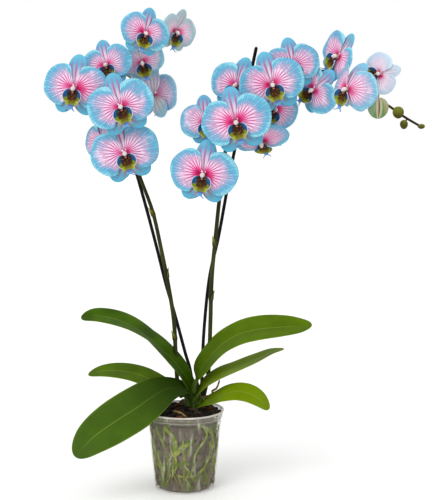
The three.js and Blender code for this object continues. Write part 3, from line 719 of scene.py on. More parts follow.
def fine_roots():
    forms = []
    for number in range(FINE_ROOTS):
        degrees = 360 * number / FINE_ROOTS + chance.uniform(-FINE_TURN, FINE_TURN)
        height = chance.uniform(*FINE_STARTS)
        radius = chance.uniform(*FINE_RADII)
        route = []
        while height > FINE_LOWEST and len(route) < FINE_KNOTS:
            route.append(wall_point(degrees, height, radius + FINE_WALL_GAP))
            degrees += chance.uniform(-FINE_WANDER, FINE_WANDER)
            height -= chance.uniform(*FINE_DROPS)
        tone = (chance.uniform(*FINE_TONES), 0, 0)
        line = smooth_line(route, FINE_POINTS_A_KNOT * len(route))
        forms.append(root_limb(line, radius, FINE_SIDES, tone))
    return forms


# %% [markdown]
# The crown is the short stem that carries the leaves, wrapped in the bases of old ones. Such a
# sheath is made as a short limb that leans out, so the leaves seem to grow from between the
# sheaths. One brown root bends out into the air at the right, and one lies on the bark in front.

# %% Crown, sheaths and dry roots
# The crown's flag gives it and its sheaths a dark green, darkened further as painted shade between
# the leaf bases.
CROWN_SHADE_TONE = (0, 1, 0)
DRY_TONE = (0, 0, 1)
CROWN_CENTRE = (14, 4)
CROWN_ROUTE = [(12, 6, 92), (14, 5, 118), (16, 4, 142), (17, 3, 164)]
CROWN_RADII = [8, 11, 11.5, 9, 5]
TOP_ROOT = [(-22, -20, 112), (-16, -26, 124), (-7, -34, 125), (2, -43, 121), (8, -50, 114)]
DRY_ROOT = [(20, 4, 138), (34, 5, 141), (44, 4, 144), (43, 4, 150), (49, 4, 154), (54, 4, 166)]
SHEATHS = [(-2.5, 17, 146), (-0.7, 16, 142), (3.6, 15, 142), (0.5, 17, 140), (-1.6, 12, 138)]
SHEATH_FOOT = ((5, 104), (8, 122))
SHEATH_RADII = [5, 6.5, 5, 1.2]
CROWN_POINTS, CROWN_SIDES = 20, 24
SHEATH_POINTS, SHEATH_SIDES = 16, 16
DRY_POINTS, DRY_SIDES = 40, 10


def sheath_form(turn, *tip):
    """A sheath that leans out at a turn round the crown, to the reach and height of its tip."""
    x, y = CROWN_CENTRE
    route = [(x + reach * math.cos(turn), y + reach * math.sin(turn), height)
             for reach, height in (*SHEATH_FOOT, tip)]
    return limb(smooth_line(route, SHEATH_POINTS), SHEATH_RADII, SHEATH_SIDES, CROWN_SHADE_TONE)


crown_line = smooth_line(CROWN_ROUTE, CROWN_POINTS)
crown_forms = [limb(crown_line, CROWN_RADII, CROWN_SIDES, CROWN_SHADE_TONE)]
crown_forms += [sheath_form(*sheath) for sheath in SHEATHS]
crown_forms += [limb(smooth_line(route, DRY_POINTS), radii, DRY_SIDES, DRY_TONE)
                for route, radii in ((DRY_ROOT, [2.4, 2.0, 1.3]), (TOP_ROOT, [1.5, 1.9, 1.4]))]
print(f"Crown: {len(crown_line)} rings, with {len(SHEATHS)} sheaths round it")

# %% [markdown]
# A root's skin is spongy: green where it is damp, silvery in patches where it is dry, and brown
# towards its end. The crown is dark green, darkened further by painted shade where it lies between
# the leaf bases, and the roots in the air are brown.

# %% Root finish
def root_finish():
    paint = Paint("root_skin")
    along, _, _ = paint.numbers("spot")
    _, crown, dry = paint.numbers("tone")
    patches = paint.noise(110, 4)
    grain = paint.noise(900, 2)
    silver = paint.noise(64, 3)
    damp = (patches + 0.1).fade(-0.12, 0.16)
    tone = paint.layers(
        paint.mix((158, 166, 56), (112, 132, 6), damp),
        ((176, 182, 144), silver.fade(0.02, 0.12) * 0.6),
        ((126, 104, 58), (along + patches).fade(0.8, 1.0) * 0.6),
        ((184, 190, 140), grain.fade(0.1, 0.3) * 0.25),
        # crown and sheaths: dark green, darkened further as painted shade between the leaf bases
        (paint.mix((22, 38, 0), (52, 74, 4), damp), crown),
        (paint.mix((84, 72, 32), (134, 110, 62), damp + along * 0.4), dry))
    return paint.finish(Base_Color=tone, Roughness=0.55 + patches * 0.3, Specular_IOR_Level=0.2,
                        Normal=paint.bump(grain + patches, 0.0006, 0.6))


add_piece("crown_and_wall_roots", joined([*crown_forms, *root_forms, *fine_roots()]),
          root_finish(), "root", "crown_and_roots")

# %% [markdown]
# ## Bark
#
# The pot is filled with bark chips. Only the outermost show, so the middle is one dark core and the
# chips lie on its top and against the wall. A chip is a rounded box with a rough surface. Chips at
# the wall are pressed flat against it, as the real ones are.

# %% One chip
CHIP_CUTS = 5
CHIP_ROUNDING = 1.25
CHIP_ROUGHNESS = (-0.13, 0.13)
CHIP_GAP = 0.4
CHIP_LOWEST = POT_FLOOR + 0.5


def chip_points():
    """A cube's surface as six grids of points, as one closed form with shared corners."""
    steps = np.linspace(-1, 1, CHIP_CUTS)
    found = {}
    faces = []
    for axis in range(3):
        for side in (-1, 1):
            numbers = np.zeros((CHIP_CUTS, CHIP_CUTS), int)
            for i, a in enumerate(steps):
                for j, b in enumerate(steps):
                    point = np.insert([a, b], axis, side)
                    numbers[i, j] = found.setdefault(tuple(np.round(point, 3)), len(found))
            block = grid_faces(numbers)
            faces.append(block if (side > 0) == (axis != 1) else block[:, ::-1])
    return np.array(list(found)), np.vstack(faces)


CUBE_POINTS, CUBE_FACES = chip_points()


def drawn(*ranges):
    """One number from each range, by chance."""
    return tuple(chance.uniform(*limits) for limits in ranges)


def chip(size, turn, place, tone):
    """A rough chip of a size, turned by three angles and moved to its place."""
    rough = np.array([drawn(*[CHIP_ROUGHNESS] * 3) for _ in CUBE_POINTS])
    reach = np.linalg.norm(CUBE_POINTS, axis=1, keepdims=True)
    points = (CUBE_POINTS / np.maximum(reach / CHIP_ROUNDING, 1) + rough) * np.array(size) / 2
    for axis, angle in zip("XYZ", turn):
        points = points @ np.array(Matrix.Rotation(angle, 3, axis)).T
    points = points + place
    reach = np.hypot(points[:, 0], points[:, 1])
    limit = wall_radius(points[:, 2]) - CHIP_GAP
    points[:, :2] *= np.minimum(1, limit / np.maximum(reach, 1))[:, None]
    points[:, 2] = np.maximum(points[:, 2], CHIP_LOWEST)
    return Form(points, CUBE_FACES, CUBE_POINTS, tone)


# %% [markdown]
# The chips on top lie flat in a sunflower pattern with seeded turns, so they cover the surface
# evenly without lying in rows. They make a low mound that reaches nearly to the rim. Those at the
# wall stand every way.

# %% Fill the pot
CORE_INSET = 8.4
CORE_TOP = 106
CORE_TONE = (0.5, 1, 0)
CORE_SIDES = 48
CORE_OUTLINE = [(0, 2.4), (40.6, 2.4), (wall_radius(FOOT_TOP) - 4, 8),
                (wall_radius(20) - CORE_INSET, 20),
                (wall_radius(CORE_TOP) - CORE_INSET, CORE_TOP - 3), (40, CORE_TOP), (0, CORE_TOP)]
TOP_CHIPS = 120
TOP_REACH = 53
FIRST_CHIP_OUT = 0.6
TOP_SIZES = (11, 21), (7, 13), (4, 8)
TOP_TURNS = (-0.4, 0.4), (-0.4, 0.4), (0, 6.3)
EDGE_HEIGHT = 115
MOUND_HEIGHT = 7
MOUND_SCATTER = (-3, 4)
WALL_CHIPS = 150
WALL_HEIGHTS = (8, 100)
WALL_INSETS = (4.5, 7.5)
WALL_SIZES = (10, 19), (5, 9), (7, 13)
WALL_TURNS = (-0.5, 0.5), (-1.2, 1.2)
GOLDEN_TURN = 2.4
CROWN_CLEARANCE = 13


def bark_forms():
    forms = [turned(CORE_OUTLINE, CORE_SIDES, CORE_TONE)]
    for number in range(TOP_CHIPS):
        reach = TOP_REACH * math.sqrt((number + FIRST_CHIP_OUT) / TOP_CHIPS)
        turn = number * GOLDEN_TURN
        mound = (EDGE_HEIGHT + MOUND_HEIGHT * (1 - (reach / TOP_REACH) ** 2)
                 + chance.uniform(*MOUND_SCATTER))
        place = (reach * math.cos(turn), reach * math.sin(turn), mound)
        size, angles = drawn(*TOP_SIZES), drawn(*TOP_TURNS)
        if math.dist(place[:2], ROOT_START[:2]) > CROWN_CLEARANCE:
            forms.append(chip(size, angles, place, (chance.random(), 0, 0)))
    for number in range(WALL_CHIPS):
        place = wall_point(number * 360 / GOLDEN_TURN, *drawn(WALL_HEIGHTS, WALL_INSETS))
        size = drawn(*WALL_SIZES)
        angles = (*drawn(*WALL_TURNS), math.atan2(place[1], place[0]) + math.pi / 2)
        forms.append(chip(size, angles, place, (chance.random(), 1, 0)))
    return forms


# %% [markdown]
# Bark on top is nearly black, partly its own damp colour and partly painted shade of the deep gaps
# between the chips, with a few reddish broken faces and a few pale ones. Through the hazy wall it
# looks greyer, so the chips there carry a number that lifts their tone: a painted veil of the light
# that the hazy plastic scatters.

# %% Bark finish
def bark_finish():
    paint = Paint("bark")
    kind, wall, _ = paint.numbers("tone")
    grain = paint.noise(260, 5, (1, 1, 0.3))
    blotch = paint.noise(70, 3)
    tone = paint.layers(
        # a nearly black ground: partly the bark's own damp colour, partly painted shade in the gaps
        # between chips
        paint.mix((8, 6, 3), (38, 26, 15), (grain + kind - 0.5).fade(-0.3, 0.5)),
        ((112, 62, 34), kind.fade(0.84, 0.92) * (grain + 0.5)),
        ((84, 74, 56), kind.fade(0.16, 0.08) * (blotch + 0.35)),
        # chips at the wall are lifted greyer: a painted veil of the light that the hazy plastic
        # scatters
        ((122, 108, 98), wall * (grain + 0.62).fade(0, 1)))
    return paint.finish(Base_Color=tone, Roughness=0.85 + grain * 0.3, Specular_IOR_Level=0.15,
                        Normal=paint.bump(grain, 0.0015, 0.9))


add_piece("bark_chips", joined(bark_forms()), bark_finish(), "bark", "bark")

# %% [markdown]
# ## Leaves
#
# A moth orchid's leaf is a thick strap, folded a little along its midrib and blunt at its tip. Each
# is a grid of points along the line of its midrib. For base, middle and tip, a lean about the
# midrib and a fold of the two halves turn the grid's rows, in degrees.

# %% Leaf data
LEAVES = {
    "front_left": {
        "spine": [(12, 0, 148), (-1, -8, 157), (-29, -25, 158), (-51, -42, 149), (-71, -58, 138),
                  (-103, -78, 121), (-134, -94, 101), (-159, -104, 76)],
        "half_width": 33, "lean": (-24, -58, -54), "fold": (14, 4, 5)},
    "mid_left": {
        "spine": [(10, 8, 136), (-8, 16, 146), (-34, 24, 153), (-54, 32, 161), (-75, 40, 168),
                  (-103, 48, 172), (-131, 54, 171), (-155, 57, 165)],
        "half_width": 22, "lean": (-14, -22, -24), "fold": (18, 6, 5)},
    "upper_left": {
        "spine": [(14, 4, 146), (6, 4, 161), (-6, 4, 182), (-33, 5, 212), (-60, 6, 236),
                  (-86, 6, 253), (-112, 5, 263), (-139, 2, 268), (-159, 0, 265)],
        "half_width": 27, "lean": (-36, -8, -30), "fold": (18, 14, 8)},
    "upper_right": {
        "spine": [(17, 4, 140), (20, 2, 160), (24, 0, 180), (39, -2, 203), (60, -6, 226),
                  (86, -12, 242), (113, -18, 250), (152, -26, 255), (178, -30, 257),
                  (194, -32, 260)],
        "half_width": 30, "lean": (38, 32, 30), "fold": (16, 8, 10)},
    "mid_right": {
        "spine": [(18, -2, 134), (24, -7, 150), (34, -9, 164), (55, -8, 178), (87, -2, 191),
                  (114, 4, 202), (135, 8, 211), (154, 12, 215)],
        "half_width": 21, "lean": (30, 8, 2), "fold": (20, 8, 5)},
    "low_right": {
        "spine": [(20, -2, 126), (33, -12, 136), (47, -18, 143), (62, -24, 151), (82, -30, 156),
                  (100, -36, 154), (115, -40, 146), (129, -42, 132)],
        "half_width": 19, "lean": (30, 32, 36), "fold": (14, 6, 5)},
}
LEAF_WIDEST = 0.55
LEAF_BASE_WIDTH = 0.34
LEAF_TIP_POWER = 2.3
print(f"{len(LEAVES)} leaves, the widest {2 * max(l['half_width'] for l in LEAVES.values())} mm")

# %% [markdown]
# The rows lie closer together towards the tip, where the outline turns fast. The midrib is a
# shallow channel on top, and the sheet thins towards its rim. The last row stops just short of the
# tip, so that it keeps a little width. Each leaf's tone says how young and yellow it is, and
# whether it is the front one, which is older and bluer and has more painted shade at its base.

# %% Build the leaves
LEAF_ROWS = 72
LEAF_COLUMNS = 25
LEAF_LINE_POINTS = 400
LEAF_LAST_ROW = 0.9996
LEAF_HALF_THICKNESS = 0.9
LEAF_RIM_SHARE = 0.3
RIM_POWER = 6
LEAF_END_POWER = 12
LEAF_ARCH_LOSS = 0.1
MIDRIB_ROUNDING = 0.05
LEAF_TONES = {"front_left": (0.1, 1, 0), "mid_left": (0.15, 0, 0), "upper_left": (0, 0, 0),
              "upper_right": (0.2, 0, 0), "mid_right": (0.7, 0, 0), "low_right": (0.6, 0, 0)}


def blade_shares(along, widest, tip_power):
    """How far a blade has opened, and how little it has closed, at shares of its length."""
    opened = np.sin(math.pi / 2 * np.minimum(along / widest, 1))
    past = np.clip((along - widest) / (1 - widest), 0, 1)
    return opened, np.sqrt(1 - past ** tip_power)


def eased(count):
    """Steps from 0 to 1 that close up towards 1."""
    return np.sin(np.linspace(0, math.pi / 2, count))


def leaf_form(leaf, tone):
    along = eased(LEAF_ROWS) * LEAF_LAST_ROW
    fine = smooth_line(leaf["spine"], LEAF_LINE_POINTS)
    even = np.linspace(0, 1, LEAF_LINE_POINTS)
    centres = np.stack([np.interp(along, even, fine[:, axis]) for axis in range(3)], 1)
    tangents = unit(np.gradient(centres, axis=0))
    level = unit(np.cross((0, 0, 1), tangents))
    upright = np.cross(tangents, level)
    lean = np.radians(shares(leaf["lean"], along))[:, None]
    across = np.cos(lean) * level + np.sin(lean) * upright
    up = np.cos(lean) * upright - np.sin(lean) * level
    rise = np.tan(np.radians(shares(leaf["fold"], along)))
    opened, closed = blade_shares(along, LEAF_WIDEST, LEAF_TIP_POWER)
    half = leaf["half_width"] * (LEAF_BASE_WIDTH + (1 - LEAF_BASE_WIDTH) * opened) * closed
    side = np.sin(np.linspace(-math.pi / 2, math.pi / 2, LEAF_COLUMNS))
    arch = np.sqrt(side ** 2 + MIDRIB_ROUNDING ** 2) - LEAF_ARCH_LOSS * side ** 4
    lift = (half * rise)[:, None] * arch
    rows = (centres[:, None] + across[:, None] * (half[:, None] * side)[..., None]
            + up[:, None] * lift[..., None])
    spot = triples(along[:, None], side, half[:, None])
    rim = np.maximum(np.abs(spot[..., 1]), along[:, None] ** LEAF_END_POWER)
    thin = 1 - (1 - LEAF_RIM_SHARE) * rim ** RIM_POWER
    return thickened(grid(rows, spot, tone), LEAF_HALF_THICKNESS * thin.ravel())


# %% [markdown]
# The finish puts fine lines along the leaf, a pale midrib, a darker upper side and a paler, duller
# underside. It paints shade on the base, where it lies between the other leaves, and more on the
# front leaf's base. A leaf shines softly: the skin is only half rough, and its specular level is
# low, so the sky doesn't grey the green.

# %% Leaf finish
def leaf_finish():
    paint = Paint("leaf_skin")
    along, side, half = paint.numbers("spot")
    # front marks the front leaf: bluer, and with more painted shade at its base
    youth, front, back = paint.numbers("tone")
    blotch = paint.noise(32, 4)
    grain = paint.noise(700, 2)
    lines = (side * half * 1.3 + blotch * 4).waves()
    midrib = abs(side * half).fade(1.5, 0.3) * along.fade(0.98, 0.8)
    tone = paint.layers(
        paint.mix((36, 62, 0), (62, 94, 2), (blotch * 1.6 + 0.5).fade(0, 1)),
        ((42, 72, 30), front * 0.5),
        ((138, 162, 12), youth * 0.75),
        ((98, 130, 10), lines * 0.07),
        ((128, 150, 62), midrib * 0.32),
        ((132, 150, 50), abs(side).fade(0.93, 1) * 0.5),
        ((104, 126, 44), back * 0.75),
        # painted shade: the base darkens where it lies between the other leaves, the front leaf's
        # most
        ((20, 38, 0), along.fade(0.5, 0.1) * 0.45 + along.fade(0.7, 0.2) * front * 0.4))
    return paint.finish(Base_Color=tone, Roughness=0.5 + blotch * 0.2 + back * 0.1,
                        Normal=paint.bump(lines * 0.15 + grain * 0.5 - midrib, 0.0005, 0.4),
                        Specular_IOR_Level=0.05)


leaf_paint = leaf_finish()
for name, leaf in LEAVES.items():
    strap = leaf_form(leaf, LEAF_TONES[name])
    add_piece(f"strap_{name}", strap, leaf_paint, "leaf", f"leaf_{name}")

# %% [markdown]
# ## Stakes and flower spikes
#
# The stakes are plain rods. The spikes are living stems: thicker at each node, where a bract clasps
# them, and thinner towards the tip. Their lines repeat the frame's own, from the bark upwards.

# %% Lines of the stakes and spikes
STAKE_RADIUS = 2.6
STAKE_POINTS, STAKE_SIDES = 160, 18
SPIKE_RADIUS = 3.3
SPIKE_TAPER = [1, 1, 0.9, 0.7, 0.55]
STAKES = {
    "left": [(18, 26, 60), (9, 25, 175), (1, 25, 204), (-17, 25, 272), (-29, 26, 313),
             (-42, 27, 366), (-58, 29, 428), (-74, 30, 486), (-87, 31, 530), (-99, 32, 571)],
    "right": [(24, 34, 60), (27, 34, 190), (31, 34, 257), (39, 34, 328), (52, 35, 385),
              (63, 35, 445), (76, 35, 515), (91, 35, 586), (110, 34, 677)],
}
SPIKES = {
    "left": [(-6, 12, 140), (-11, 14, 158), (-14, 16, 204), (-17, 16, 260), (-24, 17, 307),
             (-36, 18, 370), (-49, 20, 428), (-70, 22, 487), (-82, 23, 531), (-87, 24, 571),
             (-83, 24, 610), (-74, 24, 640), (-61, 25, 665), (-45, 28, 682), (-34, 31, 689)],
    "right": [(30, 12, 142), (36, 16, 171), (38, 18, 204), (40, 20, 259), (41, 20, 300),
              (43, 21, 338), (46, 22, 369), (53, 24, 439), (62, 25, 514), (69, 26, 550),
              (79, 26, 580), (94, 26, 606), (114, 26, 625), (137, 25, 637), (163, 23, 643),
              (191, 20, 644), (220, 15, 640), (249, 8, 629), (275, 2, 613), (294, -2, 599),
              (311, -6, 588), (332, -10, 573), (352, -14, 561)],
}
for side, route in SPIKES.items():
    print(f"The {side} spike reaches {max(height for _, _, height in route)} mm up")

# %% [markdown]
# Every bloom's place and turn is listed once, because its stalk, its petals and its lip all follow
# it: the root of its column, then degrees of turn to the side, of tilt up and of roll, its size
# against a full bloom, and how far its petals close forwards.

# %% Places of the blooms
BLOOMS = {
    "a1": ((-87, -32, 520), 0, 0, 15, 0.99, 0),
    "a2": ((-161, -28, 616), -12, 0, -7, 0.94, 0),
    "a3": ((-91, -52, 589), 0, 0, 17, 0.95, 0),
    "a4": ((-115, -8, 650), -12, 10, 16, 0.76, 4),
    "a5": ((-56, -34, 696), 20, 0, -16, 0.72, 4),
    "a6": ((-13, 20, 702), 40, -14, -12, 0.66, 16),
    "a7": ((-63, 8, 656), 5, -17, 16, 0.66, 0),
    "a8": ((-47, 46, 607), 150, 0, 0, 0.86, 0),
    "a9": ((-122, -2, 536), -35, 0, 10, 0.72, 0),
    "b1": ((30, -34, 488), -10, 0, -7, 0.985, 0),
    "b2": ((79, -54, 566), -8, 0, 14, 1, 0),
    "b3": ((132, -36, 621), 0, 0, 17, 0.94, 0),
    "b4": ((34, -14, 566), -8, 0, 8, 0.76, 0),
    "b5": ((80, -2, 620), -20, 5, -17, 0.84, 0),
    "b6": ((137, 8, 586), 20, -10, -35, 0.8, 0),
    "b7": ((117, 0, 538), 0, -55, 18, 0.85, 0),
    "b8": ((163, -16, 650), 5, 5, 10, 0.8, 0),
    "b9": ((196, -2, 614), -34, -5, -52, 0.78, 0),
    "b10": ((233, -6, 663), -58, 10, -44, 0.8, 10),
    "b11": ((240, -70, 614), -46, 0, -18, 0.86, -24),
    "b12": ((292, -23, 637), -20, 0, -78, 0.6, 0),
}


def bloom_matrix(at, yaw, pitch, roll):
    """Turns a bloom that faces +Z to where it faces on the plant, and moves it there."""
    matrix = Matrix.Translation(at) @ Matrix.Rotation(math.radians(yaw), 4, "Z")
    matrix = matrix @ Matrix.Rotation(math.radians(90 - pitch), 4, "X")
    return matrix @ Matrix.Rotation(math.radians(roll), 4, "Z")


print(f"{len(BLOOMS)} blooms on {len(SPIKES)} spikes")

# %% [markdown]
# A flower stalk leaves its spike where that is nearest to a spot behind and below the bloom, and
# comes up square to the bloom's back. A cubic curve does both.

# %% Flower stalks
TEPAL_BACK = 0.65
STALK_BEHIND = 16
STALK_BELOW = 10
STALK_REACH = 0.4
STALK_LEAVE = 0.25
STALK_RADII = (1.5, 1.7, 2.2)
STALK_SIDES = 12
STALK_POINTS = 18
STALK_TONE = (1, 0, 0)


def bent(start, leave, arrive, end):
    """Points on a cubic curve that starts towards leave and ends from arrive."""
    t = np.linspace(0, 1, STALK_POINTS)[:, None]
    return (start * (1 - t) ** 3 + 3 * leave * t * (1 - t) ** 2
            + 3 * arrive * t * t * (1 - t) + end * t ** 3)


def stalk_form(spike_line, at, yaw, pitch, roll, size, _):
    """The stalk of a bloom, from the spike that it grows on."""
    turn = np.array(bloom_matrix(at, yaw, pitch, roll).to_3x3())
    front, up = turn[:, 2], turn[:, 1]
    end = np.array(at) - front * TEPAL_BACK
    wanted = end - front * STALK_BEHIND - up * STALK_BELOW
    start = spike_line[np.linalg.norm(spike_line - wanted, axis=1).argmin()]
    reach = STALK_REACH * np.linalg.norm(end - start)
    leave = start + (end - start) * STALK_LEAVE + (0, 0, STALK_LEAVE * reach)
    thin, middle, thick = STALK_RADII
    line = bent(start, leave, end - front * reach, end)
    return limb(line, [thin, middle, thick * size], STALK_SIDES, STALK_TONE)


# %% [markdown]
# A bract is a small dry blade that wraps half round the stem at a node and ends in a point. It is a
# grid like a leaf's, bent round the stem: each row is an arc, which narrows towards the point and
# stands a little further off the stem.

# %% Bracts
SPIKE_NODES = {"left": (0.16, 0.33, 0.5), "right": (0.09, 0.2, 0.31, 0.42)}
BRACT_LENGTH = 15
BRACT_START = 0.15
BRACT_ROWS = 9
BRACT_COLUMNS = 11
BRACT_HALF_WRAP = 105
BRACT_TIP_WRAP = 0.02
BRACT_NARROWING = 1.6
BRACT_STAND_OFF = 0.75
BRACT_FLARE = 1.3
BRACT_HALF_THICKNESS = 0.28
BRACT_LEAN = 0.2
BRACT_TONE = (0, 1, 0)


def bract_form(line, share, turn):
    """A bract that starts at a share of the line's length and points along it."""
    number = int(share * (len(line) - 1))
    tangent = unit(line[number + 1] - line[number - 1])
    side = unit(np.cross(tangent, (math.cos(turn), math.sin(turn), BRACT_LEAN)))
    other = np.cross(tangent, side)
    out, across = table(np.linspace(0, 1, BRACT_ROWS), np.linspace(-1, 1, BRACT_COLUMNS))
    wrap = math.radians(BRACT_HALF_WRAP) * (1 - out ** BRACT_NARROWING) + BRACT_TIP_WRAP
    angle = across * wrap
    arc = np.cos(angle)[..., None] * side + np.sin(angle)[..., None] * other
    radius = SPIKE_RADIUS + BRACT_STAND_OFF + BRACT_FLARE * out ** 2
    forward = tangent * (BRACT_LENGTH * (out - BRACT_START))[..., None]
    rows = line[number] + forward + arc * radius[..., None]
    return thickened(grid(rows, triples(out, across, 0), BRACT_TONE), BRACT_HALF_THICKNESS)


# %% [markdown]
# The right spike ends in buds. The small ones are still green-brown and sit on short stalks. A bud
# is a ball drawn out to its tip, with three seams where its sepals will part.

# %% Shape of a bud
BUD_SEAMS = 3
SEAM_WIDTH = 0.14
SEAM_START = 0.25
BUD_POLE = 0.02
BUD_PINCH = 0.05


def bud_form(centre, radii, levels=28, sides=48, seam_depth=0.07, tone=(0, 0, 0)):
    """A bud from its centre and three radii. Its spot is its height, its seam and its turn."""
    polar = np.linspace(BUD_POLE, math.pi - BUD_POLE, levels)[:, None]
    angles = even_turns(sides)
    from_seam = np.abs((angles * BUD_SEAMS / FULL_TURN + SEAM_START) % 1 - 0.5) * 2
    groove = 1 - seam_depth * np.exp(-(from_seam / SEAM_WIDTH) ** 2) * np.sin(polar)
    height = -np.cos(polar) * (1 + BUD_PINCH * np.cos(polar) ** 3) / (1 + BUD_PINCH)
    width = np.sin(polar) * groove
    points = triples(width * np.cos(angles), width * np.sin(angles), height) * radii + centre
    return capped(points, triples(polar / math.pi, from_seam, angles / FULL_TURN), tone)


# %% [markdown]
# A spike swells a little at each of its nodes. All of a spike's parts grow together, so the stem,
# its bracts and the stalks of its blooms make one piece. The right one also takes the small buds,
# and the hooked stalk that the large bud hangs from.

# %% Shape of a spike
SPIKE_POINTS = 420
SPIKE_SIDES = 16
NODE_SWELLING = 0.2
NODE_HALF_LENGTH = 4.0
BRACT_FIRST_TURN = 1.9
STALK_START_POINTS = 121
BUD_TONE = (0, 0, 1)
SMALL_BUDS = [
    ((322, -14, 580), (8.6, 8, 9.6), (318, -8, 583)),
    ((331, -13, 562), (6, 6, 7.4), (336, -11, 570)),
    ((357, -14, 559), (5.6, 4.2, 4), (350, -14, 562)),
]
LARGE_BUD_CENTRE = (291, -20, 587)
LARGE_BUD_RADII = (15.6, 14.5, 16.8)
LARGE_BUD_FROM = np.array((288, 0, 603))
LARGE_BUD_GAP = 0.3
HOOK_LEAVES, HOOK_ARRIVES = (0, -2, 9), (0, 0, 7)
HOOK_RADII = [1.5, 1.6, 1.8]
SMALL_BUD_LEVELS, SMALL_BUD_SIDES, SMALL_BUD_SEAM = 18, 30, 0.06
SMALL_STALK_RADII, SMALL_STALK_POINTS, SMALL_STALK_SIDES = [1.3, 1.3], 6, 10


def spike_forms(side, mark):
    """A spike with the stalks of the blooms whose names start with its mark."""
    line = smooth_line(SPIKES[side], SPIKE_POINTS)
    length = np.linalg.norm(np.diff(line, axis=0), axis=1).sum()
    along = np.linspace(0, 1, SPIKE_POINTS)
    radii = SPIKE_RADIUS * shares(SPIKE_TAPER, along)
    for share in SPIKE_NODES[side]:
        away = (along - share) * length / NODE_HALF_LENGTH
        radii = radii * (1 + NODE_SWELLING * np.exp(-away ** 2))
    forms = [limb(line, radii, SPIKE_SIDES)]
    for number, share in enumerate(SPIKE_NODES[side]):
        forms.append(bract_form(line, share, BRACT_FIRST_TURN + math.pi * number))
    starts = smooth_line(SPIKES[side], STALK_START_POINTS)
    forms += [stalk_form(starts, *bloom) for name, bloom in BLOOMS.items() if name[0] == mark]
    return forms


def bud_stalks():
    """The hooked stalk of the large bud, and the small buds with theirs."""
    top = np.array(LARGE_BUD_CENTRE) + (0, 0, LARGE_BUD_RADII[2] + LARGE_BUD_GAP)
    hook = bent(LARGE_BUD_FROM, LARGE_BUD_FROM + HOOK_LEAVES, top + HOOK_ARRIVES, top)
    forms = [limb(hook, HOOK_RADII, STALK_SIDES, BUD_TONE)]
    for centre, radii, start in SMALL_BUDS:
        forms.append(bud_form(centre, radii, SMALL_BUD_LEVELS, SMALL_BUD_SIDES, SMALL_BUD_SEAM,
                              BUD_TONE))
        line = smooth_line([start, centre], SMALL_STALK_POINTS)
        forms.append(limb(line, SMALL_STALK_RADII, SMALL_STALK_SIDES, BUD_TONE))
    return forms


# %% [markdown]
# The stem is dark olive with a purplish cast, greener low down. The stalks are paler, and the
# bracts brown with a pale rim. A stake is black plastic with scuffs along it.

# %% Stem and stake finishes
def stem_finish():
    paint = Paint("flower_stem")
    along, around, _ = paint.numbers("spot")
    stalk, bract, bud = paint.numbers("tone")
    blotch = paint.noise(60, 4, (1, 1, 0.4))
    fine = paint.noise(800, 2)
    tone = paint.layers(
        paint.mix((26, 32, 8), (62, 68, 24), (blotch * 1.5 + 0.4).fade(0, 1)),
        ((44, 26, 18), (blotch * -1.4 + along * 0.8).fade(0.25, 0.75) * 0.6),
        (paint.mix((120, 128, 96), (150, 120, 130), along.fade(0.2, 0.9)), stalk),
        (paint.mix((112, 104, 62), (170, 160, 122), abs(around).fade(0.6, 1)), bract),
        (paint.mix((66, 66, 14), (128, 132, 46), (blotch * 1.6 + along).fade(0.2, 0.9)), bud))
    return paint.finish(Base_Color=tone, Roughness=0.5 + blotch * 0.3, Specular_IOR_Level=0.1,
                        Normal=paint.bump(fine + blotch, 0.0004, 0.5))


def stake_finish():
    paint = Paint("stake_plastic")
    scuffs = paint.noise(300, 4, (1, 1, 0.1))
    tone = paint.mix((12, 13, 11), (40, 40, 32), scuffs.fade(0.02, 0.3))
    return paint.finish(Base_Color=tone, Roughness=0.55 + scuffs * 0.4, Specular_IOR_Level=0.1,
                        Normal=paint.bump(scuffs, 0.0003, 0.5))


stem_paint = stem_finish()
stake_paint = stake_finish()
for side, mark, extra in (("left", "a", []), ("right", "b", bud_stalks())):
    spike = joined(spike_forms(side, mark) + extra)
    add_piece(f"flower_spike_{side}", spike, stem_paint, "stem", f"spike_{side}")
for side, route in STAKES.items():
    rod = limb(smooth_line(route, STAKE_POINTS), [STAKE_RADIUS] * 2, STAKE_SIDES)
    add_piece(f"rod_{side}", rod, stake_paint, "stake", f"stake_{side}")

# %% [markdown]
# The large bud is about to open: its green has turned pinkish and blue, with fine brown lines from
# end to end. Each seam is a dark red line with cream beside it. Its green goes darker low down and
# paler and creamier towards the top, partly its own colour and partly a painted highlight of the
# light from above.

# %% Large bud
def bud_finish():
    paint = Paint("bud_skin")
    height, seam, turn = paint.numbers("spot")
    blotch = paint.noise(90, 4, (1, 1, 0.3))
    lines = (turn * 230 + blotch * 7).waves().fade(0.3, 0.9)
    pink_side = (turn * FULL_TURN + 1.2).sine().fade(-0.1, 0.8)
    tone = paint.layers(
        # darker green low down, paler cream towards the top: partly the bud's own colour, partly
        # painted light from above
        paint.mix((88, 142, 74), (186, 194, 146), (blotch * 1.4 + height * 0.8).fade(0.1, 0.8)),
        ((200, 150, 118), pink_side * height.fade(0.2, 0.6) * 0.8),
        ((96, 172, 150), (blotch + 0.1).fade(0.1, 0.3) * 0.6),
        ((98, 74, 44), lines * 0.45),
        ((232, 214, 190), seam.fade(0.4, 0.2) * 0.5),
        ((112, 46, 40), seam.fade(0.14, 0.02) * 0.9))
    return paint.finish(Base_Color=tone, Roughness=0.5, Specular_IOR_Level=0.2,
                        Normal=paint.bump(lines, 0.0003, 0.3))


large_bud = bud_form(LARGE_BUD_CENTRE, LARGE_BUD_RADII)
add_piece("swelling_bud", large_bud, bud_finish(), "bud", "bud_large")

# %% [markdown]
# ## Blooms
#
# A moth orchid has three sepals behind two broad petals. All five grow from a small round heart.
# A petal is a fan of straight lines from its root that end on a disc, which gives its wide round
# outline. Its surface comes forwards near the heart, falls back to the edge, and waves more the
# further out it is. Each bloom has its own phase of that wave, so no two are alike.

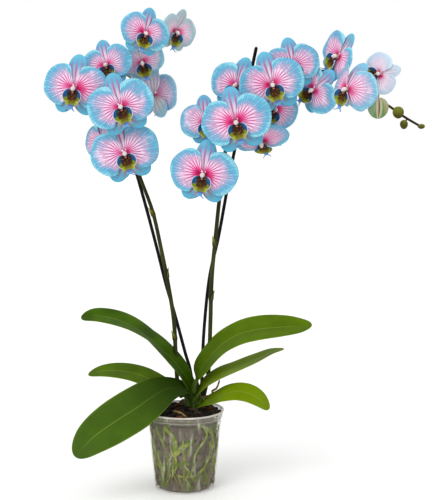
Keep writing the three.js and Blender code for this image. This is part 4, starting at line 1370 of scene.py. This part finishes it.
# %% Shape of a petal
PETAL_OFFSET = 17.5
PETAL_RADIUS = 35.5
PETAL_TILT = 9
PETAL_HALF_FAN = 66
PETAL_SHORTFALL = 0.14
PETAL_RISE = 9
PETAL_FALL = 13.6
PETAL_SIDE_LIFT = 6
PETAL_WAVE, PETAL_WAVES = 2.2, 4.5
RUFFLE, RUFFLES, RUFFLE_PHASES = 0.8, 11, 2.3
RIM_WOBBLE, RIM_WOBBLES, RIM_PHASES = 0.012, 9, 3
PETAL_ROWS = 24
PETAL_COLUMNS = 41


def place_tepal(reach, across, height, direction, cup):
    """Tilts a tepal's points forwards about the column's root and turns them to its direction."""
    turn, tilt = math.radians(direction), math.radians(cup)
    out = reach * math.cos(tilt) - height * math.sin(tilt)
    front = reach * math.sin(tilt) + height * math.cos(tilt)
    return triples(out * math.cos(turn) - across * math.sin(turn),
                   out * math.sin(turn) + across * math.cos(turn), front)


def petal_rows(direction, side, size, cup, phase):
    """Points of a petal, and for each its share of the way out and of the turn to either side."""
    out, turn = table(np.linspace(0, 1, PETAL_ROWS), np.linspace(-1, 1, PETAL_COLUMNS))
    angle = math.radians(PETAL_HALF_FAN) * turn
    across = PETAL_OFFSET * np.sin(angle)
    edge = PETAL_OFFSET * np.cos(angle) + np.sqrt(PETAL_RADIUS ** 2 - across ** 2)
    wobble = RIM_WOBBLE * out ** 4 * np.sin(RIM_WOBBLES * turn + RIM_PHASES * phase)
    reach = size * out * edge * (1 - PETAL_SHORTFALL * turn ** 6 + wobble)
    wave = PETAL_WAVE * out ** 3 * np.sin(PETAL_WAVES * turn + phase + side)
    ruffle = RUFFLE * out ** 5 * np.sin(RUFFLES * turn + RUFFLE_PHASES * phase)
    fall = (PETAL_FALL - PETAL_SIDE_LIFT * turn ** 2) * out ** 2
    height = size * (PETAL_RISE * out - fall + wave + ruffle)
    points = place_tepal(reach * np.cos(angle), reach * np.sin(angle), height, direction, cup)
    return points, triples(out, turn * side, 0)


# %% [markdown]
# A sepal is an oval that arches back a little to either side. Its rows lie closer together towards
# the tip, where its outline turns fast.

# %% Shape of a sepal
SEPAL_HALF_WIDTH = 15
SEPAL_ROOT_HALF_WIDTH = 2.5
SEPAL_TIP_HALF_WIDTH = 0.5
SEPAL_WIDEST = 0.55
SEPAL_OPENING_POWER = 0.8
SEPAL_TIP_POWER = 2.2
SEPAL_BEHIND = 2.4
SEPAL_FALL = 5
SEPAL_ARCH = 1.4
SEPAL_WAVE, SEPAL_WAVES = 0.6, 5
SEPAL_ROWS = 22
SEPAL_COLUMNS = 15


def sepal_rows(direction, length, kind, size, cup, phase):
    along, side = table(eased(SEPAL_ROWS), np.linspace(-1, 1, SEPAL_COLUMNS))
    opened, closed = blade_shares(along, SEPAL_WIDEST, SEPAL_TIP_POWER)
    half = SEPAL_HALF_WIDTH * opened ** SEPAL_OPENING_POWER * closed
    half = np.maximum(half + SEPAL_ROOT_HALF_WIDTH * (1 - along), SEPAL_TIP_HALF_WIDTH)
    wave = SEPAL_WAVE * side * np.sin(SEPAL_WAVES * along + phase + direction)
    height = -SEPAL_BEHIND - SEPAL_FALL * along ** 2 - SEPAL_ARCH * side ** 2 + wave
    points = place_tepal(size * length * along, size * half * side, size * height, direction, cup)
    return points, triples(along, side, kind)


# %% [markdown]
# The five are joined at the heart. Each first row is drawn in to its arc of a small circle, and a
# fan of faces fills that circle, so the whole bloom is one sheet. It is thickened as one, and fine
# at the rim.

# %% Put a bloom together
HEART_RADIUS = 4.2
PETAL_SPREAD = 34
DORSAL, LATERAL = 1, 2
DORSAL_DIRECTION = 90
DORSAL_SHAPE = (53, DORSAL, 22)
LATERAL_DIRECTIONS = (235, 305)
LATERAL_SHAPE = (47, LATERAL, 20)
TEPAL_HALF_THICKNESS = 0.35
TEPAL_RIM_LOSS = 0.65


def rooted(points, spots, direction, spread, size, tone):
    """A tepal whose first row lies on the heart and whose next rows run smoothly on from there."""
    degrees = np.radians(direction + spread * spots[0, :, 1])
    heart = triples(np.cos(degrees), np.sin(degrees), 0) * HEART_RADIUS * size
    pull = (1 - spots[..., :1]) ** 3
    return grid(points + pull * (heart - points[0]), spots, tone)


def bloom_form(size, cup, phase, tone):
    """A bloom's petals and sepals, facing +Z with the dorsal sepal along +Y."""

    def petal(direction, side):
        rows = petal_rows(direction, side, size, cup, phase)
        return rooted(*rows, direction, PETAL_SPREAD, size, tone)

    def sepal(direction, length, kind, spread):
        rows = sepal_rows(direction, length, kind, size, cup, phase)
        return rooted(*rows, direction, spread, size, tone)

    forms = [petal(PETAL_TILT, 1), sepal(DORSAL_DIRECTION, *DORSAL_SHAPE),
             petal(180 - PETAL_TILT, -1)]
    forms += [sepal(direction, *LATERAL_SHAPE) for direction in LATERAL_DIRECTIONS]
    columns = (PETAL_COLUMNS, SEPAL_COLUMNS, PETAL_COLUMNS, SEPAL_COLUMNS, SEPAL_COLUMNS)
    ring = []
    start = 0
    for form, count in zip(forms, columns):
        ring += range(start, start + count)
        start += len(form.points)
    whole = joined(forms)
    fan = [(start, a, b, b) for a, b in zip(ring, ring[1:] + ring[:1])]
    sheet = Form(np.vstack([whole.points, (0, 0, 0)]), np.vstack([whole.faces, fan]),
                 np.vstack([whole.spot, (0, 0, 0)]), tone)
    thin = 1 - TEPAL_RIM_LOSS * sheet.spot[:, 0] ** RIM_POWER
    return thickened(sheet, TEPAL_HALF_THICKNESS * thin)


# %% [markdown]
# The dye shows as rings: hot pink at the heart, a pale lavender field with pink veins, and a blue
# margin with darker flecks. Veins fan out from the root, wander, break off in places and fork once.
# Beyond the fork a net of fine veins joins them, which a Voronoi texture drawn out along the rays
# gives. The sepals have lengthwise stripes instead. All of it is a sum over two numbers that each
# point carries: its share of the way out and of the way to the side.

# %% Veins and stripes
PETAL_VEINS = 12
SEPAL_STRIPES = 4


def petal_veins(paint, out, side, wander):
    """The veins that fan out from the root, and with them the net between."""
    rays = side * PETAL_VEINS * math.pi + wander * 3.2
    first = rays.waves().fade(0.48, 0.96)
    forked = (rays * 2 + 1.5).waves().fade(0.5, 1.0)
    fork = (out + wander * 0.3).fade(0.42, 0.62)
    lines = first * (1 - fork * 0.6) + forked * fork * 0.8
    cell = paint.node("ShaderNodeCombineXYZ", None, {0: out * 8, 1: side * 14, 2: wander * 1.4})
    net = paint.node("ShaderNodeTexVoronoi", {"feature": "DISTANCE_TO_EDGE"},
                     {"Vector": cell, "Scale": 1.0}).fade(0.12, 0.02)
    return lines, lines.most(net * fork * 0.6) * (wander * 2.2 + 0.85).fade(0.1, 0.8)


def sepal_stripes(out, side, wander):
    waves = (side * SEPAL_STRIPES * math.pi * (1.15 - out * 0.3) + wander * 1.6).waves()
    return waves.fade(0.35, 0.95)


# %% [markdown]
# A ramp over the way out gives each kind of tepal its rings. Noise in what the ramp reads breaks
# them up, as the dye isn't taken up evenly. Greenish and pale blooms lay their own tones over it.

# %% Petal finish
# The petal ring's paler last stop is a painted highlight along the thin rim.
PETAL_RINGS = ((0.0, (160, 6, 66)), (0.1, (222, 34, 112)), (0.21, (230, 96, 154)),
               (0.33, (234, 172, 208)), (0.54, (232, 206, 228)), (0.68, (210, 208, 226)),
               (0.8, (142, 190, 214)), (0.9, (98, 176, 204)), (0.97, (112, 190, 212)),
               (1.0, (146, 208, 222)))
VEIN_RINGS = ((0.0, (140, 0, 52)), (0.16, (176, 10, 84)), (0.4, (170, 34, 108)),
              (0.64, (158, 66, 136)), (0.8, (106, 108, 162)), (1.0, (58, 134, 174)))
DORSAL_RINGS = ((0.0, (196, 44, 104)), (0.1, (216, 150, 184)), (0.26, (226, 210, 226)),
                (0.46, (206, 192, 216)), (0.6, (150, 174, 204)), (0.76, (88, 162, 196)),
                (1.0, (88, 178, 206)))
LATERAL_RINGS = ((0.0, (160, 10, 56)), (0.14, (190, 84, 116)), (0.3, (196, 176, 176)),
                 (0.5, (168, 186, 194)), (0.7, (96, 168, 194)), (1.0, (76, 170, 202)))


def petal_finish():
    paint = Paint("petal_skin")
    out, side, kind = paint.numbers("spot")
    pale, green, back = paint.numbers("tone")
    drift = paint.noise(22, 2)
    wander = paint.noise(60, 3)
    fleck = paint.noise(420, 3)
    is_dorsal = kind.fade(0.2, 0.8) * kind.fade(1.8, 1.2)
    is_lateral = kind.fade(1.2, 1.8)
    is_sepal = kind.above(0.5)
    lines, veins = petal_veins(paint, out, side, wander)
    stripes = sepal_stripes(out, side, wander)

    rim = (out + (abs(side) ** 5 * 0.08 + side.fade(0.4, 1) * 0.12) * out + drift * 0.6
           + wander * 0.45 - lines * 0.03)
    mottle = (fleck + wander * 1.4).fade(0.05, 0.35) * rim.fade(0.72, 0.9)
    petal = paint.layers(
        rim.ramp(*PETAL_RINGS),
        (rim.ramp(*VEIN_RINGS), veins * (rim.fade(1.1, 0.7) * 0.68 + 0.3)),
        ((66, 138, 176), mottle * 0.4))

    reach = out + drift * 0.3 + wander * 0.14 + (side ** 2) * out * 0.12
    dorsal = paint.layers(
        reach.ramp(*DORSAL_RINGS),
        ((226, 222, 232), abs(side).fade(0.62, 0.9) * out.fade(0.5, 0.25)),
        ((168, 70, 126), stripes * (reach.fade(1.0, 0.5) * 0.7 + 0.12)))
    lateral = paint.mix(reach.ramp(*LATERAL_RINGS), (164, 30, 74),
                        stripes * (reach.fade(1.0, 0.35) * 0.66 + 0.08))

    midband = green.most(back * 0.8) * is_sepal * abs(side).fade(0.95, 0.3)
    tone = paint.layers(
        petal,
        (dorsal, is_dorsal),
        (lateral, is_lateral),
        ((142, 156, 116), midband * (0.25 + stripes * 0.5)),
        ((150, 168, 140), green.fade(0.6, 0.9) * rim.fade(0.3, 0.8) * 0.5),
        ((232, 230, 238), pale * rim.fade(0.05, 0.4) * 0.8),
        ((186, 196, 216), back * 0.3),
        ((240, 244, 250), fleck.fade(0.1, 0.35) * 0.12))
    grain = veins * (1 - is_sepal) + stripes * is_sepal + fleck * 0.4
    return paint.finish(Base_Color=tone, Roughness=0.6 + fleck * 0.3, Specular_IOR_Level=0.15,
                        Normal=paint.bump(grain, 0.0004, 0.6))


# %% [markdown]
# Some blooms differ. The young ones at the spikes' tips are pale and greenish, as the plant took up
# less dye after they opened.

# %% Build the blooms
BLOOM_TONES = {"a6": (0.35, 0.8, 0), "b12": (0.65, 0.4, 0), "a8": (0, 0.4, 0), "a7": (0.1, 0.7, 0),
               "b10": (0, 0.3, 0), "b11": (0.12, 0, 0)}
PLAIN_TONE = (0, 0, 0)
PHASE_STEP = 1.7

petal_paint = petal_finish()
for number, (name, (at, yaw, pitch, roll, size, cup)) in enumerate(BLOOMS.items()):
    bloom = bloom_form(size, cup, number * PHASE_STEP, BLOOM_TONES.get(name, PLAIN_TONE))
    bloom = bloom.moved(bloom_matrix(at, yaw, pitch, roll))
    add_piece(f"petals_{name}", bloom, petal_paint, "tepal", f"bloom_{name}")

# %% [markdown]
# ## Lips
#
# The third petal is the lip: two side lobes that stand up like a cup round the column, and a middle
# lobe with a keel, two side wings and a tongue that ends in two tendrils. Its middle lobe is a grid
# whose rows run down from the column, given by half width and by height in the middle and at the
# side. A low ridge runs down its middle.

# %% Middle lobe
LIP_ROWS = np.array([
    # y, half width, middle z, side z
    (-2.4, 2.2, 4.6, 5.4), (-6, 3.3, 4.5, 5.6), (-9.5, 4.4, 4.4, 5.8), (-13, 5.0, 4.9, 6.4),
    (-16, 5.8, 5.6, 7.3), (-18.4, 8.0, 6.3, 8.6), (-20.6, 9.9, 6.9, 9.6), (-22.8, 10.1, 7.7, 9.9),
    (-25, 9.0, 8.4, 9.9), (-26.6, 6.4, 8.5, 9.0), (-28.2, 3.7, 8.4, 8.0), (-30, 3.3, 8.4, 8.1),
    (-31.8, 3.7, 8.4, 8.7), (-33, 2.9, 8.5, 9.0)])
LIP_LINE_ROWS = 36
LIP_COLUMNS = 17
LIP_TROUGH_POWER = 1.8
LIP_HALF_THICKNESS = 0.4
RIDGE_HEIGHT = 0.5
RIDGE_WIDTH = 0.16
RIDGE_MIDDLE, RIDGE_LENGTH = -15, 6
MIDDLE_LOBE, SIDE_LOBE, COLUMN, CALLUS, TENDRIL = range(5)


def middle_lobe():
    y, half, middle = smooth_line(LIP_ROWS[:, :3], LIP_LINE_ROWS).T[..., None]
    edge = np.interp(-y, -LIP_ROWS[:, 0], LIP_ROWS[:, 3])
    across = np.linspace(-1, 1, LIP_COLUMNS)
    trough = middle + (edge - middle) * np.abs(across) ** LIP_TROUGH_POWER
    ridge = RIDGE_HEIGHT * np.exp(-(across / RIDGE_WIDTH) ** 2)
    ridge = ridge * np.exp(-((y - RIDGE_MIDDLE) / RIDGE_LENGTH) ** 2)
    spots = triples(np.linspace(0, 1, LIP_LINE_ROWS)[:, None], across, half)
    rows = triples(half * across, y, trough + ridge)
    return thickened(grid(rows, spots, (MIDDLE_LOBE, 0, 0)), LIP_HALF_THICKNESS)


# %% [markdown]
# A side lobe springs from the keel, spreads sideways and curls forwards all round its rim. It is a
# grid between two lines, its root on the keel and its rim. The left one is the mirror image of the
# right one, with its columns reversed so that it faces the same way.

# %% Side lobes
SIDE_LOBE_ROWS = 16
SIDE_LOBE_COLUMNS = 21
SIDE_ROOT_MIDDLE, SIDE_ROOT_HALF = (3.9, -9.5, 6.2), (-1.7, 6.9, -0.8)
SIDE_RIM_MIDDLE, SIDE_RIM_REACH = (9, -12.6, 11.5), (7, 9.6, 0.9)
SIDE_RIM_HALF_TURN = 76
SIDE_FORWARD_POWER = 1.8
SIDE_RIM_CURL = 0.9


def side_lobe(side):
    out, up = table(np.linspace(0, 1, SIDE_LOBE_ROWS), np.linspace(-1, 1, SIDE_LOBE_COLUMNS))
    turn = math.radians(SIDE_RIM_HALF_TURN) * up
    root = SIDE_ROOT_MIDDLE + up[..., None] * SIDE_ROOT_HALF
    rim = SIDE_RIM_MIDDLE + triples(np.cos(turn), np.sin(turn), up) * SIDE_RIM_REACH
    points = root + (rim - root) * triples(out, out, out ** SIDE_FORWARD_POWER)
    points[..., 0] = side * (points[..., 0] - SIDE_RIM_CURL * out ** 6)
    spots = triples(out, up, 1)
    if side < 0:
        points, spots = points[:, ::-1], spots[:, ::-1]
    return thickened(grid(points, spots, (SIDE_LOBE, 0, 0)), LIP_HALF_THICKNESS)


# %% [markdown]
# The column stands in the middle of the bloom and ends in a rounded cap. Under it lies the callus,
# a small split knob where the lobes meet. The tongue's two tendrils curl up from its tip. The lip
# is made at full size and then scaled, and only the column's root keeps its height on the heart.

# %% A whole lip
COLUMN_ROOT = 0.5
COLUMN_ROUTE = [(0, -0.4, 4), (0, -0.9, 7.5), (0, -2.2, 11)]
COLUMN_RADII = [3.1, 2.8, 2.8, 3.3, 3.6, 2.7]
CALLUS_PLACE, CALLUS_RADII, CALLUS_SPLIT = (0, -6.6, 7.6), (2.0, 1.5, 2.3), 0.2
TENDRIL_ROUTE = np.array([(2.2, -32.2, 8.6), (4.2, -34.2, 9.0), (6.3, -35.4, 10.8), (7, -35, 13.2)])
TENDRIL_RADII = [1.1, 0.8, 0.55, 0.4]
COLUMN_POINTS, COLUMN_SIDES = 16, 20
CALLUS_LEVELS, CALLUS_SIDES = 12, 18
TENDRIL_POINTS, TENDRIL_SIDES = 14, 8


def lip_form(size):
    column = smooth_line([(0, 0, COLUMN_ROOT / size), *COLUMN_ROUTE], COLUMN_POINTS)
    forms = [middle_lobe(), side_lobe(1), side_lobe(-1),
             limb(column, COLUMN_RADII, COLUMN_SIDES, (COLUMN, 0, 0)),
             bud_form(CALLUS_PLACE, CALLUS_RADII, CALLUS_LEVELS, CALLUS_SIDES, CALLUS_SPLIT,
                      (CALLUS, 0, 0))]
    for side in (-1, 1):
        line = smooth_line(TENDRIL_ROUTE * (side, 1, 1), TENDRIL_POINTS)
        forms.append(limb(line, TENDRIL_RADII, TENDRIL_SIDES, (TENDRIL, 0, 0)))
    form = joined(forms)
    form.points *= size
    return form


# %% [markdown]
# Inside, the side lobes are blue above and olive below, with a brown root and a pale rim that is a
# painted highlight, widest along the top. The middle lobe goes from a brown throat by olive and
# yellow-green to a blue tongue. Small olive and red specks mark the throat and the lobes round it.
# The column is nearly white.

# %% Lip finish
MIDDLE_LOBE_TONES = ((0.0, (30, 6, 4)), (0.26, (48, 16, 4)), (0.46, (60, 30, 4)),
                     (0.58, (96, 88, 12)), (0.7, (110, 120, 40)), (0.76, (80, 84, 132)),
                     (0.86, (76, 120, 180)), (1.0, (104, 168, 210)))
SIDE_LOBE_TONES = (0.0, (24, 76, 118)), (0.4, (26, 86, 150)), (1.0, (40, 104, 168))
COLUMN_TONES = ((0.0, (170, 60, 100)), (0.4, (186, 180, 170)), (0.7, (222, 220, 214)),
                (1.0, (206, 198, 194)))
OLIVE_SPECK = (116, 100, 14)


def lip_finish():
    paint = Paint("lip_skin")
    out, side, _ = paint.numbers("spot")
    kind, _, back = paint.numbers("tone")
    wander = paint.noise(160, 3)
    speck = paint.noise(330, 3)
    fleck = paint.noise(600, 2)

    def is_part(number):
        return kind.math("COMPARE", kind, number, 0.3)

    throat = out.fade(0.6, 0.45)
    wing = abs(side).fade(0.4, 0.8) * out.fade(0.46, 0.56) * out.fade(0.8, 0.72)
    middle = paint.layers(
        (out + wander * 0.16).ramp(*MIDDLE_LOBE_TONES),
        ((150, 156, 28), wing * (wander * 1.5 + 0.85).fade(0.2, 0.9)),
        ((176, 200, 196), abs(side).fade(0.9, 1.0) * out.fade(0.5, 0.6) * 0.7),
        (OLIVE_SPECK, speck.fade(0.03, 0.14) * throat * out.fade(0.1, 0.3) * 0.7),
        ((104, 30, 20), speck.fade(-0.05, -0.15) * throat * 0.5))

    height = side + wander * 0.5
    inner = (out - height * 0.12 + wander * 0.5).fade(0.56, 0.26)
    # painted highlight along the side lobe's rim, widest at its top
    edge = (out + wander * 0.1 + height.fade(0, 0.9) * 0.1).fade(0.9, 0.98)
    lobe = paint.layers(
        height.ramp(*SIDE_LOBE_TONES),
        ((116, 128, 16), height.fade(-0.2, -0.5)),
        ((34, 18, 10), inner * 0.95),
        (OLIVE_SPECK, speck.fade(0.04, 0.14) * inner * 0.6),
        ((104, 34, 26), speck.fade(-0.06, -0.15) * inner * 0.5),
        # the painted highlight on the rim
        ((206, 214, 226), edge * 0.85))

    tone = paint.layers(
        middle,
        (lobe, is_part(SIDE_LOBE)),
        ((168, 186, 212), back * 0.6),
        (out.ramp(*COLUMN_TONES), is_part(COLUMN)),
        ((186, 112, 104), is_part(CALLUS)),
        (paint.mix((92, 150, 200), (40, 84, 150), out), is_part(TENDRIL)))
    return paint.finish(Base_Color=tone, Roughness=0.5 + fleck * 0.2, Specular_IOR_Level=0.12,
                        Normal=paint.bump(wander + fleck * 0.4, 0.0003, 0.4))


lip_paint = lip_finish()
for name, (at, yaw, pitch, roll, size, _) in BLOOMS.items():
    lip = lip_form((1 + size) / 2).moved(bloom_matrix(at, yaw, pitch, roll))
    add_piece(f"labellum_{name}", lip, lip_paint, "lip", f"lip_{name}")
